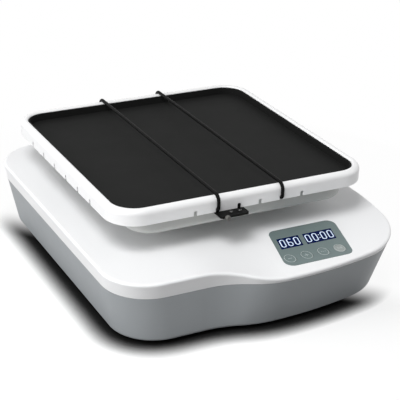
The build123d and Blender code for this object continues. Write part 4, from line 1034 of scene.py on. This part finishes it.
# %% The screws that show
slot_length, slot_width, slot_depth = 1.15, 0.24, 1.1
wide_head, wide_shank = 2.4 * mm, 2.0 * mm
small_head, small_shank = 1.6 * mm, 1.2 * mm
screw_groups = {
    "clamp_screws": ("platform", (0, 0, 1), small_head, small_shank, blackened_steel),
    "inlet_screws": ("base", (0, 1, 0), small_head, small_shank, screw_steel),
    "foot_screws": ("base", (0, 0, -1), wide_head, wide_shank, screw_steel),
    "cover_screws": ("base", (0, 0, -1), wide_head, wide_shank, screw_steel),
    "pan_screws": ("platform", (0, 0, -1), wide_head, wide_shank, screw_steel),
}
for node_name, (body, facing, head, shank, finish) in screw_groups.items():
    facing = Vector(facing)
    places = []
    for low, high in loose_solids(node_name):
        centre, size = (low + high) / 2, high - low
        length = abs(size.dot(facing))
        radius = (size - facing * size.dot(facing)).length / 2 / 2 ** 0.5
        places.append(centre + facing * (length / 2 - head))
    blank_screw = screw_blank(radius, head, shank, length)
    mesh = bpy.data.meshes.new(node_name)
    mesh.from_pydata(places, [], [])
    group = bpy.data.objects.new(node_name + "_cut", mesh)
    scene.collection.objects.link(group)
    screw_tree.grow(
        group, Screw=blank_screw, Turn=facing.to_track_quat("Z", "Y").to_euler(),
        Slot_Length=slot_length * radius, Slot_Width=slot_width * radius, Slot_Depth=slot_depth * head,
        Head_Top=head, Material=finish.material,
    )
    bpy.data.objects.remove(blank_screw)
    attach(group, body)
    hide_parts(node_name)
    print(node_name, len(places), "screws", len(group.data.polygons), "faces")

# %% [markdown]
# ## The thumbscrew of the clamp
# The little knob that tightens the clamp is ribbed so that fingers can turn it.  A turned
# solid whose radius goes in and out with the angle is enough.

# %% The ribbed knob
ribs = 14
points_per_rib = 4
rib_depth = 0.22 * mm
ribbed_from = 0.9
knob_low, knob_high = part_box("clamp_thumbscrew")
knob_radius = (knob_high[0] - knob_low[0]) / 2
knob_length = knob_high[1] - knob_low[1]
knob_profile = [
    (0.0, 0.0), (0.95, 0.0), (1.0, 0.08), (1.0, 0.78),
    (0.86, 1.0), (0.45, 1.0), (0.38, 0.86), (0.0, 0.86),
]
knob_mesh = turned(
    "ribbed_knob", [(knob_radius * across, knob_length * up) for across, up in knob_profile],
    points_per_rib * ribs,
)
for vertex in knob_mesh.vertices:
    if vertex.co.xy.length > ribbed_from * knob_radius:
        turn = atan2(vertex.co.y, vertex.co.x)
        vertex.co.xy *= 1 - rib_depth / knob_radius * (0.5 - 0.5 * cos(ribs * turn))
knob_place = Matrix.Rotation(radians(90.0), 4, "X")
knob_place.translation = Vector((
    (knob_low[0] + knob_high[0]) / 2, knob_high[1], (knob_low[2] + knob_high[2]) / 2,
))
knob_mesh.transform(knob_place)
knob_mesh.materials.append(knob_plastic.material)
knob = bpy.data.objects.new("ribbed_knob", knob_mesh)
scene.collection.objects.link(knob)
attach(knob, "platform")
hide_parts("clamp_thumbscrew")
print("knob", ribs, "ribs", round(knob_radius / mm, 2), "mm radius")

# %% [markdown]
# ## The size, once more
# The finish may not make the machine bigger.  The last line writes out the box of the frame
# that was loaded.

# %% The size of the frame
print("cad", list(cad_low), list(cad_high))
